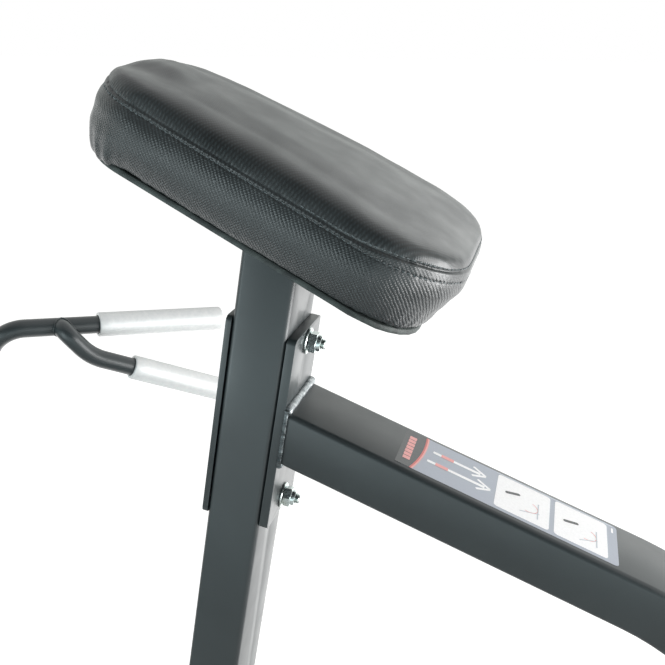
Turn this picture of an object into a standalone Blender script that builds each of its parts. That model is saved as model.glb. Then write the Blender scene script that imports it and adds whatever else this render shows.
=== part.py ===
"""Incline row machine: a plate-loaded lever with a chest pad, built as separate pieces.

Metres, +Z up. +X points to the user's feet, +Y to the user's left, and the origin is on the
floor under the middle of the machine.
"""

import math

import bmesh
import bpy
from mathutils import Matrix, Vector

# Clearances
GAP = 0.0003              # between pieces that touch or are welded
RUNNING_FIT = 0.00008     # radial, between a shaft and the bore that turns on it
BOLT_CLEARANCE = 0.0005   # radial, between a bolt and its hole

# Tube stock
FRAME_TUBE_WIDE = 0.080
FRAME_TUBE_DEEP = 0.050
FRAME_TUBE_WALL = 0.003
TUBE_CORNER = 0.005
TUBE_INNER_CORNER = 0.002 # least radius of a tube's inner corners
LEVER_TUBE_WIDE = 0.040
LEVER_TUBE_DEEP = 0.050
LEVER_TUBE_WALL = 0.003
CROSS_TUBE_SIDE = 0.050
REST_TUBE_SIDE = 0.040

# Base
FOOT_CENTRE_X = 0.800     # the two foot tubes stand at plus and minus this
FRONT_FOOT_LENGTH = 0.460
REAR_FOOT_LENGTH = 0.640
SHOE_WALL = 0.005
SHOE_GRIP = 0.035
REST_SETBACK = 0.170      # foot rest tube's centre line, ahead of the rear foot tube
REST_TUBE_LENGTH = 0.600
PLUG_FLANGE = 0.003
PLUG_STUB = 0.012

# Chest pad post
POST_LEAN = math.radians(9.38)
POST_FACE_X = -0.120      # rear face of the post, level with the foot of the flange plate
PLATE_FOOT_Z = 0.700      # height of the flange plate's foot above the floor

# Flange joint between the post and the main beam
FLANGE_HEIGHT = 0.187
FLANGE_THICK = 0.008
BACKING_HEIGHT = 0.195
BACKING_THICK = 0.005
PLATE_CORNER = 0.005
LOWER_BOLT_P = 0.016
UPPER_BOLT_P = 0.1745
M10_RADIUS = 0.005
M10_HEAD_ACROSS = 0.016
M10_HEAD_HIGH = 0.0064
M10_NUT_ACROSS = 0.017
M10_NUT_HIGH = 0.011
M10_THREAD_PROUD = 0.0041
WASHER_RADIUS = 0.012
WASHER_THICK = 0.002

# Main beam
BEAM_TOP_P = 0.120        # top of the beam at the flange, above the flange's foot
BEAM_TILT = math.radians(11.91)   # below the post's normal
BEAM_STRAIGHT = 0.330
BEAM_BEND_RADIUS = 0.220
BEAM_BEND = math.radians(32.0)
BEAM_BEND_STEPS = 8
WELD_LEG = 0.005
WELD_SIDE_SHARE = 0.4     # the bead stands out less at the beam's sides
WELD_BULGE_SHARE = 0.55   # how far the bead's face stands out between its two legs

# Chest pad
PAD_BASE_P = 0.269        # under side of the pad on the post's centre line
PAD_TILT = math.radians(16.8)     # below the post's normal
PAD_FRONT = 0.180         # from the post's centre line to the pad's front end
PAD_REAR = 0.156
PAD_FRONT_HALF = 0.0856   # half width at the front end
PAD_REAR_HALF = 0.1278
PAD_FRONT_CORNER = 0.056
PAD_REAR_CORNER = 0.074
PAD_SEAM_HIGH = 0.0522
PAD_CROWN_HIGH = 0.0765
PAD_SEAM_INSET = 0.0048
PAD_TUCK = 0.0113         # how far the band draws in towards the board
PAD_SHOULDER = 0.025      # width of the rounded edge above the seam
PAD_CORNER_STEPS = 8
BOARD_THICK = 0.005
BOARD_INSET = 0.0168
MOUNT_PLATE_LONG = 0.160
MOUNT_PLATE_WIDE = 0.100
MOUNT_PLATE_THICK = 0.006
PAD_BOLT_S = 0.062
PAD_BOLT_Y = 0.032
M8_RADIUS = 0.004
M8_HEAD_ACROSS = 0.013
M8_HEAD_HIGH = 0.0053

# Lever
PIVOT_X = 0.480
PIVOT_Z = 0.165
LEVER_FRONT_X = -0.800
LEVER_FRONT_Z = 0.280
ARM_Y = 0.100
ARM_TAIL = 0.034
CROSS_TUBE_LENGTH = 0.500
SHAFT_RADIUS = 0.010
BUSH_WALL = 0.004
HUB_WALL = 0.005
BRACKET_THICK = 0.006
BRACKET_FOOT_LONG = 0.110
BRACKET_HEAD_RADIUS = 0.028
BRACKET_FOOT_Z = 0.014
HUB_OUTER_Y = 0.133
PIVOT_NUT_ACROSS = 0.030
PIVOT_NUT_HIGH = 0.014
STOP_TUBE_SIDE = 0.050
BUMPER_RADIUS = 0.020
BUMPER_HIGH = 0.024

# Weight horns
HORN_RADIUS = 0.024
HORN_WALL = 0.003
HORN_LENGTH = 0.200
HORN_COLLAR_RADIUS = 0.045
HORN_COLLAR_THICK = 0.008
HORN_CAP_FLANGE = 0.004
HORN_CAP_PLUG = 0.014

# Handles: points of the left one, measured from the foot of the post's flange plate
HANDLE_BAR_RADIUS = 0.0111
HANDLE_FOOT_Y = 0.190
HANDLE_RISE = 0.050       # straight length that stands square on the cross tube
HANDLE_TOP_X = -0.394     # where the bar's upright would meet the outer grip's line
OUTER_GRIP_START = Vector((-0.3085, 0.2470, 0.0772))
OUTER_GRIP_WAY = Vector((0.7321, 0.6740, -0.0990))
BRANCH_FROM_GRIP = 0.046  # from the outer grip's near end back to the branch
BRANCH_STAND_OFF = 0.020  # the branch leaves the bar square, and its elbow is this far out
BRANCH_ELBOW_RADIUS = 0.016
INNER_KNEE_X = -0.3061
INNER_GRIP_START = Vector((-0.2693, 0.2532, 0.0219))
INNER_GRIP_WAY = Vector((0.6694, 0.6163, -0.4147))
HANDLE_BEND_RADIUS = 0.038
HANDLE_FOOT_RADIUS = 0.080
BRANCH_BEND_RADIUS = 0.045
GRIP_RADIUS = 0.0153
GRIP_LENGTH = 0.164
GRIP_END = 0.004

# Foot plates
FOOT_PLATE_LONG = 0.230
FOOT_PLATE_WIDE = 0.215
FOOT_PLATE_THICK = 0.005
FOOT_PLATE_Y = 0.172
FOOT_MAT_THICK = 0.003
FOOT_MAT_MARGIN = 0.010
FOOT_PLATE_CORNER = 0.020

ROUND_STEPS = 32
CORNER_STEPS = 3
SIDES = (("left", 1), ("right", -1))

# Values that follow from the ones above
TUBE_FLOOR_Z = SHOE_WALL + GAP
BASE_TOP_Z = TUBE_FLOOR_Z + FRAME_TUBE_DEEP
REST_TUBE_X = FOOT_CENTRE_X - FRAME_TUBE_WIDE / 2 - REST_SETBACK
POST_NORMAL = Vector((math.cos(POST_LEAN), 0, -math.sin(POST_LEAN)))
POST_UP = Vector((math.sin(POST_LEAN), 0, math.cos(POST_LEAN)))
BEAM_PITCH = POST_LEAN + BEAM_TILT
PAD_PITCH = POST_LEAN + PAD_TILT
PAD_AXIS = Vector((math.cos(PAD_PITCH), 0, -math.sin(PAD_PITCH)))
PAD_UP = Vector((math.sin(PAD_PITCH), 0, math.cos(PAD_PITCH)))
PIVOT = Vector((PIVOT_X, 0, PIVOT_Z))
LEVER_FRONT = Vector((LEVER_FRONT_X, 0, LEVER_FRONT_Z))
LEVER_WAY = (LEVER_FRONT - PIVOT).normalized()
LEVER_UP = Vector((LEVER_WAY.z, 0, -LEVER_WAY.x))
SIDEWAYS = Vector((0, 1, 0))
UP = Vector((0, 0, 1))
BRACKET_Y = FRAME_TUBE_WIDE / 2 + GAP + BRACKET_THICK / 2


def on_post(q, p):
    """Point on the machine's middle plane, q behind the post's rear face and p up along it."""
    return Vector((POST_FACE_X, 0, PLATE_FOOT_Z)) + POST_NORMAL * q + POST_UP * p


def linear(hex_colour):
    """sRGB hex colour as linear RGBA."""
    parts = [int(hex_colour[i:i + 2], 16) / 255 for i in (0, 2, 4)]
    return [c / 12.92 if c <= 0.04045 else ((c + 0.055) / 1.055) ** 2.4 for c in parts] + [1]


def make_material(name, hex_colour, roughness, metallic):
    material = bpy.data.materials.new(name)
    material.use_nodes = True
    shader = material.node_tree.nodes["Principled BSDF"]
    shader.inputs["Base Color"].default_value = linear(hex_colour)
    shader.inputs["Roughness"].default_value = roughness
    shader.inputs["Metallic"].default_value = metallic
    return material


def clear_scene():
    for obj in list(bpy.data.objects):
        bpy.data.objects.remove(obj, do_unlink=True)


def new_collection(name):
    collection = bpy.data.collections.new(name)
    bpy.context.scene.collection.children.link(collection)
    return collection


# Meshes

def rounded_rectangle(long_side, short_side, radius, steps=CORNER_STEPS):
    """Outline with arcs at its corners, anticlockwise."""
    points = []
    for turn, (sx, sy) in enumerate(((1, 1), (-1, 1), (-1, -1), (1, -1))):
        centre = Vector((sx * (long_side / 2 - radius), sy * (short_side / 2 - radius)))
        for i in range(steps + 1):
            angle = math.pi / 2 * (turn + i / steps)
            points.append(centre + radius * Vector((math.cos(angle), math.sin(angle))))
    return points


def circle(radius, steps=ROUND_STEPS, centre=(0, 0), start=0.0):
    turn = 2 * math.pi / steps
    return [Vector((centre[0] + radius * math.cos(start + i * turn),
                    centre[1] + radius * math.sin(start + i * turn))) for i in range(steps)]


def hexagon(across_flats):
    return circle(across_flats / 2 / math.cos(math.pi / 6), 6)


def finish_mesh(bm, name):
    bmesh.ops.remove_doubles(bm, verts=bm.verts, dist=1e-6)
    bmesh.ops.recalc_face_normals(bm, faces=bm.faces)
    mesh = bpy.data.meshes.new(name)
    bm.to_mesh(mesh)
    bm.free()
    mesh.shade_smooth()
    mesh.set_sharp_from_angle(angle=math.radians(35))
    return mesh


def mesh_of_curve(curve, name):
    """The curve's evaluated surface as a closed mesh."""
    guide = bpy.data.objects.new(name + "_guide", curve)
    bpy.context.scene.collection.objects.link(guide)
    evaluated = guide.evaluated_get(bpy.context.evaluated_depsgraph_get())
    raw = bpy.data.meshes.new_from_object(evaluated)
    bm = bmesh.new()
    bm.from_mesh(raw)
    bpy.data.objects.remove(guide)
    bpy.data.meshes.remove(raw)
    return finish_mesh(bm, name)


def flat_mesh(name, outlines, thickness):
    """A sheet or straight tube: outlines in local XY, the first one outside, the rest holes."""
    curve = bpy.data.curves.new(name, "CURVE")
    curve.dimensions = "2D"
    curve.fill_mode = "BOTH"
    curve.extrude = thickness / 2
    for outline in outlines:
        spline = curve.splines.new("POLY")
        spline.points.add(len(outline) - 1)
        spline.use_cyclic_u = True
        for point, place in zip(spline.points, outline):
            point.co = (place[0], place[1], 0, 1)
    return mesh_of_curve(curve, name)


def bar_mesh(name, points, radius):
    """A round bar along points in machine space."""
    curve = bpy.data.curves.new(name, "CURVE")
    curve.dimensions = "3D"
    curve.bevel_depth = radius
    curve.bevel_resolution = 6
    curve.use_fill_caps = True
    spline = curve.splines.new("POLY")
    spline.points.add(len(points) - 1)
    for point, place in zip(spline.points, points):
        point.co = (*place, 1)
    return mesh_of_curve(curve, name)


def bridge_rings(bm, rings, closed=False):
    """Quads between neighbouring rings of vertices."""
    pairs = list(zip(rings, rings[1:])) + ([(rings[-1], rings[0])] if closed else [])
    for lower, upper in pairs:
        count = len(lower)
        for i in range(count):
            j = (i + 1) % count
            bm.faces.new((lower[i], lower[j], upper[j], upper[i]))


def swept_tube_mesh(name, stations, wide, deep, wall, start_cut=None, end_cut=None):
    """A box tube through (point, direction) stations in the machine's middle plane.

    A cut is a (point, normal) plane that trims that end along the tube's own direction.
    """
    bm = bmesh.new()
    skins = []
    for shrink in (0, wall):
        radius = max(TUBE_CORNER - shrink, TUBE_INNER_CORNER)
        outline = rounded_rectangle(wide - 2 * shrink, deep - 2 * shrink, radius)
        rings = []
        for number, (point, way) in enumerate(stations):
            normal = way.cross(SIDEWAYS)
            ring = [point + SIDEWAYS * a + normal * b for a, b in outline]
            cut = {0: start_cut, len(stations) - 1: end_cut}.get(number)
            if cut:
                ring = [v + way * ((cut[0] - v).dot(cut[1]) / way.dot(cut[1])) for v in ring]
            rings.append([bm.verts.new(v) for v in ring])
        bridge_rings(bm, rings)
        skins.append(rings)
    for end in (0, -1):
        bridge_rings(bm, [skins[0][end], skins[1][end]])
    return finish_mesh(bm, name)


def ring_stack_mesh(name, levels):
    """A closed form through stacked outlines with the same number of points."""
    bm = bmesh.new()
    rings = [[bm.verts.new((x, y, z)) for x, y in outline] for outline, z in levels]
    bridge_rings(bm, rings)
    bm.faces.new(rings[0])
    bm.faces.new(rings[-1])
    return finish_mesh(bm, name)


def open_box_mesh(name, long_side, short_side, depth):
    """A box without its +Z face, for a cup that Solidify thickens outwards."""
    bm = bmesh.new()
    bmesh.ops.create_cube(bm, size=1)
    bmesh.ops.scale(bm, vec=(long_side, short_side, depth), verts=bm.verts)
    top = [face for face in bm.faces if face.normal.z > 0.5]
    bmesh.ops.delete(bm, geom=top, context="FACES")
    mesh = bpy.data.meshes.new(name)
    bm.to_mesh(mesh)
    bm.free()
    return mesh


def rounded_path(corners, radii, steps=6):
    """Straight runs between the corners, with an arc of the given radius at each inner one."""
    path = [corners[0]]
    for before, corner, after, radius in zip(corners, corners[1:], corners[2:], radii):
        back = (before - corner).normalized()
        ahead = (after - corner).normalized()
        half = back.angle(ahead) / 2
        centre = corner + (back + ahead).normalized() * (radius / math.sin(half))
        start = corner + back * (radius / math.tan(half)) - centre
        end = corner + ahead * (radius / math.tan(half)) - centre
        for i in range(steps + 1):
            path.append(centre + start.slerp(end, i / steps).normalized() * radius)
    return path + [corners[-1]]


# Objects

def place(obj, origin, x_axis, z_axis):
    """Sets the object's origin and turns its local X and Z to the given directions."""
    z_axis = z_axis.normalized()
    y_axis = z_axis.cross(x_axis).normalized()
    turn = Matrix((y_axis.cross(z_axis), y_axis, z_axis)).transposed()
    obj.matrix_world = Matrix.Translation(origin) @ turn.to_4x4()
    return obj


class Machine:
    """Makes the machine's objects in their collections, with their materials and parents."""

    def __init__(self):
        self.pieces = new_collection("incline_row_machine")
        self.cutters = new_collection("cutters")
        self.materials = {
            "powder_coat": make_material("powder_coat", "4a5153", 0.42, 0.0),
            "zinc": make_material("zinc", "b9bdbf", 0.32, 1.0),
            "weld": make_material("weld", "8d9294", 0.45, 1.0),
            "aluminium": make_material("aluminium", "d3d6d8", 0.35, 1.0),
            "vinyl": make_material("vinyl", "3b4345", 0.48, 0.0),
            "board": make_material("board", "1b1c1d", 0.7, 0.0),
            "rubber": make_material("rubber", "202122", 0.8, 0.0),
            "plastic": make_material("plastic", "262829", 0.5, 0.0),
            "bronze": make_material("bronze", "a9793f", 0.4, 1.0),
            "chrome": make_material("chrome", "d9dcde", 0.12, 1.0),
        }
        self.lever = bpy.data.objects.new("lever_pivot", None)
        self.lever.location = PIVOT
        self.pieces.objects.link(self.lever)

    def add(self, name, mesh, material, moving=False):
        obj = bpy.data.objects.new(name, mesh)
        if not mesh.materials:
            mesh.materials.append(self.materials[material])
        self.pieces.objects.link(obj)
        if moving:
            obj.parent = self.lever
            obj.matrix_parent_inverse = Matrix.Translation(-PIVOT)
        return obj

    def cutter(self, name, mesh):
        obj = bpy.data.objects.new(name, mesh)
        self.cutters.objects.link(obj)
        obj.hide_render = True
        obj.display_type = "WIRE"
        return obj

    def cut(self, obj, cutter, operation="DIFFERENCE"):
        modifier = obj.modifiers.new(cutter.name, "BOOLEAN")
        modifier.operation = operation
        modifier.object = cutter

    def turned(self, name, profile, material, origin, axis, moving=False, ring=False):
        """A turned piece: profile of (radius, height) down its outer side, axis along Z."""
        mesh = bpy.data.meshes.new(name)
        count = len(profile)
        edges = [(i, i + 1) for i in range(count - 1)] + ([(count - 1, 0)] if ring else [])
        mesh.from_pydata([(r, 0, h) for r, h in profile], edges, [])
        obj = self.add(name, mesh, material, moving)
        screw = obj.modifiers.new("turn", "SCREW")
        screw.steps = ROUND_STEPS
        screw.render_steps = ROUND_STEPS
        screw.use_merge_vertices = True
        screw.merge_threshold = 0.00001
        return place(obj, origin, square_to(axis), axis)


def square_to(axis):
    """A direction square to the axis, the same for every round piece on one axis."""
    helper = SIDEWAYS if abs(axis.normalized().y) < 0.7 else UP
    return axis.cross(helper).normalized()


def frame_tube(machine, name, centre, way, length, across):
    """A straight length of frame tube, its wide side along across."""
    outlines = [rounded_rectangle(FRAME_TUBE_WIDE, FRAME_TUBE_DEEP, TUBE_CORNER),
                rounded_rectangle(FRAME_TUBE_WIDE - 2 * FRAME_TUBE_WALL,
                                  FRAME_TUBE_DEEP - 2 * FRAME_TUBE_WALL,
                                  TUBE_CORNER - FRAME_TUBE_WALL)]
    tube = machine.add(name, flat_mesh(name, outlines, length), "powder_coat")
    return place(tube, centre, across, way)


def square_tube_mesh(name, side, wall, length):
    outlines = [rounded_rectangle(side, side, TUBE_CORNER),
                rounded_rectangle(side - 2 * wall, side - 2 * wall, TUBE_CORNER - wall)]
    return flat_mesh(name, outlines, length)


def end_shoe(machine, name, tube_wide, tube_deep, end, outward):
    """A rubber shoe over a tube's end, with its sole under the tube."""
    depth = SHOE_GRIP
    mesh = open_box_mesh(name, tube_wide + 2 * GAP, tube_deep + 2 * GAP, depth)
    shoe = machine.add(name, mesh, "rubber")
    skin = shoe.modifiers.new("skin", "SOLIDIFY")
    skin.thickness = SHOE_WALL
    skin.offset = 1
    skin.use_even_offset = True
    return place(shoe, end + outward * (GAP - depth / 2), outward.cross(UP), -outward)


def build_base(machine):
    middle_z = TUBE_FLOOR_Z + FRAME_TUBE_DEEP / 2
    rail_end = FOOT_CENTRE_X - FRAME_TUBE_WIDE / 2 - GAP
    ahead = Vector((1, 0, 0))
    frame_tube(machine, "base_rail", Vector((0, 0, middle_z)), ahead, 2 * rail_end, SIDEWAYS)
    for where, sign, length in (("front", -1, FRONT_FOOT_LENGTH), ("rear", 1, REAR_FOOT_LENGTH)):
        centre = Vector((sign * FOOT_CENTRE_X, 0, middle_z))
        frame_tube(machine, where + "_foot_tube", centre, SIDEWAYS, length, ahead)
        for side, hand in SIDES:
            end = centre + SIDEWAYS * (hand * length / 2)
            end_shoe(machine, f"shoe_{where}_{side}", FRAME_TUBE_WIDE, FRAME_TUBE_DEEP,
                     end, SIDEWAYS * hand)
    rest_z = BASE_TOP_Z + GAP + REST_TUBE_SIDE / 2
    rest_mesh = square_tube_mesh("foot_rest_tube", REST_TUBE_SIDE, FRAME_TUBE_WALL, REST_TUBE_LENGTH)
    rest = machine.add("foot_rest_tube", rest_mesh, "powder_coat")
    place(rest, Vector((REST_TUBE_X, 0, rest_z)), ahead, SIDEWAYS)
    for side, hand in SIDES:
        plug(machine, "rest_cap_" + side, REST_TUBE_SIDE, FRAME_TUBE_WALL,
             Vector((REST_TUBE_X, hand * (REST_TUBE_LENGTH / 2 + GAP), rest_z)), SIDEWAYS * hand,
             ahead)


def plug(machine, name, side, wall, end, outward, across):
    """A plastic plug in a square tube's end: a flange outside and a stub inside."""
    inner = side - 2 * wall - 2 * GAP
    levels = []
    for size, radius, height in ((inner, TUBE_CORNER - wall, -PLUG_STUB),
                                 (inner, TUBE_CORNER - wall, 0), (side, TUBE_CORNER, 0),
                                 (side, TUBE_CORNER, PLUG_FLANGE)):
        levels.append((rounded_rectangle(size, size, radius), height))
    piece = machine.add(name, ring_stack_mesh(name, levels), "plastic")
    return place(piece, end, across, outward)


def bolt_holes(machine):
    """Cutters for the two through-bolts of the flange joint."""
    reach = 0.2
    cutters = []
    for name, p in (("lower", LOWER_BOLT_P), ("upper", UPPER_BOLT_P)):
        mesh = flat_mesh("hole_" + name, [circle(M10_RADIUS + BOLT_CLEARANCE)], reach)
        hole = machine.cutter("hole_" + name, mesh)
        place(hole, on_post(-FRAME_TUBE_DEEP / 2, p), SIDEWAYS, POST_NORMAL)
        cutters.append(hole)
    return cutters


def build_post(machine):
    foot = (Vector((0, 0, BASE_TOP_Z + GAP)), UP)
    top = (pad_point(0, 0, -MOUNT_PLATE_THICK - 2 * GAP), PAD_UP)
    stations = [(on_post(-FRAME_TUBE_DEEP / 2, p), POST_UP) for p in (-0.6, PAD_BASE_P)]
    mesh = swept_tube_mesh("pad_post", stations, FRAME_TUBE_WIDE, FRAME_TUBE_DEEP,
                           FRAME_TUBE_WALL, foot, top)
    post = machine.add("pad_post", mesh, "powder_coat")
    for hole in bolt_holes(machine):
        machine.cut(post, hole)


def build_flange_joint(machine):
    """Two plates that clamp the post between them, with bolts, washers and nuts."""
    bolt_places = (LOWER_BOLT_P, UPPER_BOLT_P)
    front_face = -FRAME_TUBE_DEEP - GAP - BACKING_THICK
    for name, thick, height, q in (
            ("flange_plate", FLANGE_THICK, FLANGE_HEIGHT, GAP + FLANGE_THICK / 2),
            ("backing_plate", BACKING_THICK, BACKING_HEIGHT, front_face + BACKING_THICK / 2)):
        outlines = [rounded_rectangle(FRAME_TUBE_WIDE, height, PLATE_CORNER)]
        outlines += [circle(M10_RADIUS + BOLT_CLEARANCE, centre=(0, p - height / 2)) for p in bolt_places]
        plate = machine.add(name, flat_mesh(name, outlines, thick), "powder_coat")
        place(plate, on_post(q, height / 2), SIDEWAYS, POST_NORMAL)
    washer_q = FLANGE_THICK + 2 * GAP
    nut_q = washer_q + WASHER_THICK + GAP
    shank_end = nut_q + M10_NUT_HIGH + M10_THREAD_PROUD
    for name, p in zip(("lower", "upper"), bolt_places):
        washer = flat_mesh("flange_washer_" + name,
                           [circle(WASHER_RADIUS), circle(M10_RADIUS + GAP)], WASHER_THICK)
        place(machine.add("flange_washer_" + name, washer, "zinc"),
              on_post(washer_q + WASHER_THICK / 2, p), SIDEWAYS, POST_NORMAL)
        nut = flat_mesh("flange_nut_" + name,
                        [hexagon(M10_NUT_ACROSS), circle(M10_RADIUS + GAP)], M10_NUT_HIGH)
        place(machine.add("flange_nut_" + name, nut, "zinc"),
              on_post(nut_q + M10_NUT_HIGH / 2, p), SIDEWAYS, POST_NORMAL)
        hex_bolt(machine, "flange_bolt_" + name, M10_RADIUS, shank_end - front_face + GAP,
                 M10_HEAD_ACROSS, M10_HEAD_HIGH, on_post(front_face - GAP, p), POST_NORMAL)


def hex_bolt(machine, name, radius, length, head_across, head_high, seat, way):
    """A hexagon bolt: its head's seat at the given point, its shank along way."""
    overlap = head_high / 2
    head = machine.add(name, flat_mesh(name, [hexagon(head_across)], head_high), "zinc")
    place(head, seat - way * (head_high / 2), SIDEWAYS, way)
    shank_mesh = flat_mesh(name + "_shank", [circle(radius, 20)], length + overlap)
    shank = machine.cutter(name + "_shank", shank_mesh)
    place(shank, seat + way * ((length - overlap) / 2), SIDEWAYS, way)
    machine.cut(head, shank, "UNION")
    return head


def beam_stations():
    """Centre line of the main beam from the flange to the base rail."""
    way = Vector((math.cos(BEAM_PITCH), 0, -math.sin(BEAM_PITCH)))
    half = FRAME_TUBE_DEEP / 2 / math.cos(BEAM_TILT)
    root = on_post(FLANGE_THICK + GAP, BEAM_TOP_P - half)
    bend_start = root + way * BEAM_STRAIGHT
    down = Vector((-math.sin(BEAM_PITCH), 0, -math.cos(BEAM_PITCH)))
    centre = bend_start + down * BEAM_BEND_RADIUS
    stations = [(root, way)]
    for i in range(BEAM_BEND_STEPS + 1):
        pitch = BEAM_PITCH + BEAM_BEND * i / BEAM_BEND_STEPS
        out = Vector((math.sin(pitch), 0, math.cos(pitch)))
        stations.append((centre + out * BEAM_BEND_RADIUS,
                         Vector((math.cos(pitch), 0, -math.sin(pitch)))))
    end, end_way = stations[-1]
    run = (end.z - BASE_TOP_Z) / -end_way.z
    stations.append((end + end_way * run, end_way))
    return stations


def build_beam(machine):
    stations = beam_stations()
    root_cut = (on_post(FLANGE_THICK + 2 * GAP, 0), POST_NORMAL)
    foot_cut = (Vector((0, 0, BASE_TOP_Z + GAP)), UP)
    mesh = swept_tube_mesh("main_beam", stations, FRAME_TUBE_WIDE, FRAME_TUBE_DEEP,
                           FRAME_TUBE_WALL, root_cut, foot_cut)
    machine.add("main_beam", mesh, "powder_coat")
    build_weld(machine, *stations[0])


def build_weld(machine, root, way):
    """The bead round the beam's root, on the flange plate: a fillet, flatter at the sides."""
    normal = way.cross(SIDEWAYS)
    bm = bmesh.new()
    rings = []
    for grow, lift in ((GAP, 0), (WELD_LEG, 0), (WELD_BULGE_SHARE * WELD_LEG,) * 2, (GAP, WELD_LEG)):
        side = GAP + (grow - GAP) * WELD_SIDE_SHARE
        outline = rounded_rectangle(FRAME_TUBE_WIDE + 2 * side, FRAME_TUBE_DEEP + 2 * grow,
                                    TUBE_CORNER + side)
        face = on_post(FLANGE_THICK + 2 * GAP + lift, 0)
        ring = []
        for a, b in outline:
            point = root + SIDEWAYS * a + normal * b
            point += way * ((face - point).dot(POST_NORMAL) / way.dot(POST_NORMAL))
            ring.append(bm.verts.new(point))
        rings.append(ring)
    bridge_rings(bm, rings, closed=True)
    machine.add("beam_weld", finish_mesh(bm, "beam_weld"), "weld")


def pad_point(s, y, h):
    """Point in the pad's frame: s to the rear along it, h above its under side."""
    return on_post(-FRAME_TUBE_DEEP / 2, PAD_BASE_P) + PAD_AXIS * s + SIDEWAYS * y + PAD_UP * h


def pad_outline(inset):
    """The pad's tapered outline with rounded corners, drawn in by inset, in (s, y)."""
    slope = math.atan((PAD_REAR_HALF - PAD_FRONT_HALF) / (PAD_FRONT + PAD_REAR))
    corners = []
    for s, half, corner in ((PAD_REAR, PAD_REAR_HALF, PAD_REAR_CORNER),
                            (-PAD_FRONT, PAD_FRONT_HALF, PAD_FRONT_CORNER)):
        radius = max(corner - inset, 0.012)
        centre_s = s - math.copysign(inset + radius, s)
        centre_y = half + (centre_s - s) * math.tan(slope) - (inset + radius) / math.cos(slope)
        corners.append((centre_s, centre_y, radius))
    rear, front = corners
    side = math.pi / 2 + slope
    turns = ((rear, 1, 0, side), (front, 1, side, math.pi),
             (front, -1, math.pi, 2 * math.pi - side), (rear, -1, 2 * math.pi - side, 2 * math.pi))
    points = []
    for (s, y, radius), hand, first, last in turns:
        for i in range(PAD_CORNER_STEPS + 1):
            angle = first + (last - first) * i / PAD_CORNER_STEPS
            points.append((s + radius * math.cos(angle), y * hand + radius * math.sin(angle)))
    return points


def build_pad(machine):
    plate_half = (MOUNT_PLATE_LONG / 2, MOUNT_PLATE_WIDE / 2)
    bolts = [(s * PAD_BOLT_S, y * PAD_BOLT_Y) for s in (-1, 1) for y in (-1, 1)]
    holes = [circle(M8_RADIUS + BOLT_CLEARANCE, 20, centre) for centre in bolts]
    plate = [rounded_rectangle(2 * plate_half[0], 2 * plate_half[1], PLATE_CORNER)] + holes
    piece = machine.add("pad_mount_plate", flat_mesh("pad_mount_plate", plate, MOUNT_PLATE_THICK),
                        "powder_coat")
    place(piece, pad_point(0, 0, -GAP - MOUNT_PLATE_THICK / 2), PAD_AXIS, PAD_UP)
    board = [pad_outline(BOARD_INSET)] + holes
    piece = machine.add("pad_board", flat_mesh("pad_board", board, BOARD_THICK), "board")
    place(piece, pad_point(0, 0, BOARD_THICK / 2), PAD_AXIS, PAD_UP)
    reach = MOUNT_PLATE_THICK + 2 * GAP + BOARD_THICK * 0.8
    for number, (s, y) in enumerate(bolts, 1):
        seat = pad_point(s, y, -MOUNT_PLATE_THICK - 2 * GAP)
        hex_bolt(machine, f"pad_bolt_{number}", M8_RADIUS, reach, M8_HEAD_ACROSS, M8_HEAD_HIGH,
                 seat, PAD_UP)
    build_cushion(machine)


def build_cushion(machine):
    """Firm pad: a band that bulges and tucks in below, a drawn-in seam and a crowned top."""
    low = BOARD_THICK + GAP
    stack = []
    for share, inset in ((0, 0.0045), (0.10, 0.0012), (0.35, 0), (0.70, 0.0006), (0.95, 0.0030),
                         (1, PAD_SEAM_INSET)):
        height = low + share * (PAD_SEAM_HIGH - low)
        stack.append((pad_outline(inset + PAD_TUCK * (1 - share) ** 2), height))
    for share, across in ((0.20, 0.03), (0.46, 0.16), (0.72, 0.40), (0.91, 0.75), (1, 1.3)):
        height = PAD_SEAM_HIGH + share * (PAD_CROWN_HIGH - PAD_SEAM_HIGH)
        stack.append((pad_outline(PAD_SEAM_INSET + across * PAD_SHOULDER), height))
    cushion = machine.add("pad_cushion", ring_stack_mesh("pad_cushion", stack), "vinyl")
    place(cushion, pad_point(0, 0, 0), PAD_AXIS, PAD_UP)


def build_lever_frame(machine):
    reach = (LEVER_FRONT - PIVOT).length - CROSS_TUBE_SIDE / 2 - GAP
    hub_radius = SHAFT_RADIUS + RUNNING_FIT + BUSH_WALL + GAP + HUB_WALL
    outlines = [rounded_rectangle(LEVER_TUBE_WIDE, LEVER_TUBE_DEEP, TUBE_CORNER),
                rounded_rectangle(LEVER_TUBE_WIDE - 2 * LEVER_TUBE_WALL,
                                  LEVER_TUBE_DEEP - 2 * LEVER_TUBE_WALL,
                                  TUBE_CORNER - LEVER_TUBE_WALL)]
    arm_mesh = flat_mesh("lever_arm", outlines, reach + ARM_TAIL)
    hole = machine.cutter("hub_hole", flat_mesh("hub_hole", [circle(hub_radius + GAP)], 0.4))
    place(hole, PIVOT, square_to(SIDEWAYS), SIDEWAYS)
    for side, hand in SIDES:
        arm = machine.add("lever_arm_" + side, arm_mesh, "powder_coat", moving=True)
        middle = PIVOT + LEVER_WAY * ((reach - ARM_TAIL) / 2) + SIDEWAYS * (hand * ARM_Y)
        place(arm, middle, SIDEWAYS, LEVER_WAY)
        machine.cut(arm, hole)
    cross = machine.add("lever_front_tube",
                        square_tube_mesh("lever_front_tube", CROSS_TUBE_SIDE, LEVER_TUBE_WALL,
                                         CROSS_TUBE_LENGTH), "powder_coat", moving=True)
    place(cross, LEVER_FRONT, LEVER_WAY, SIDEWAYS)


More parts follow.
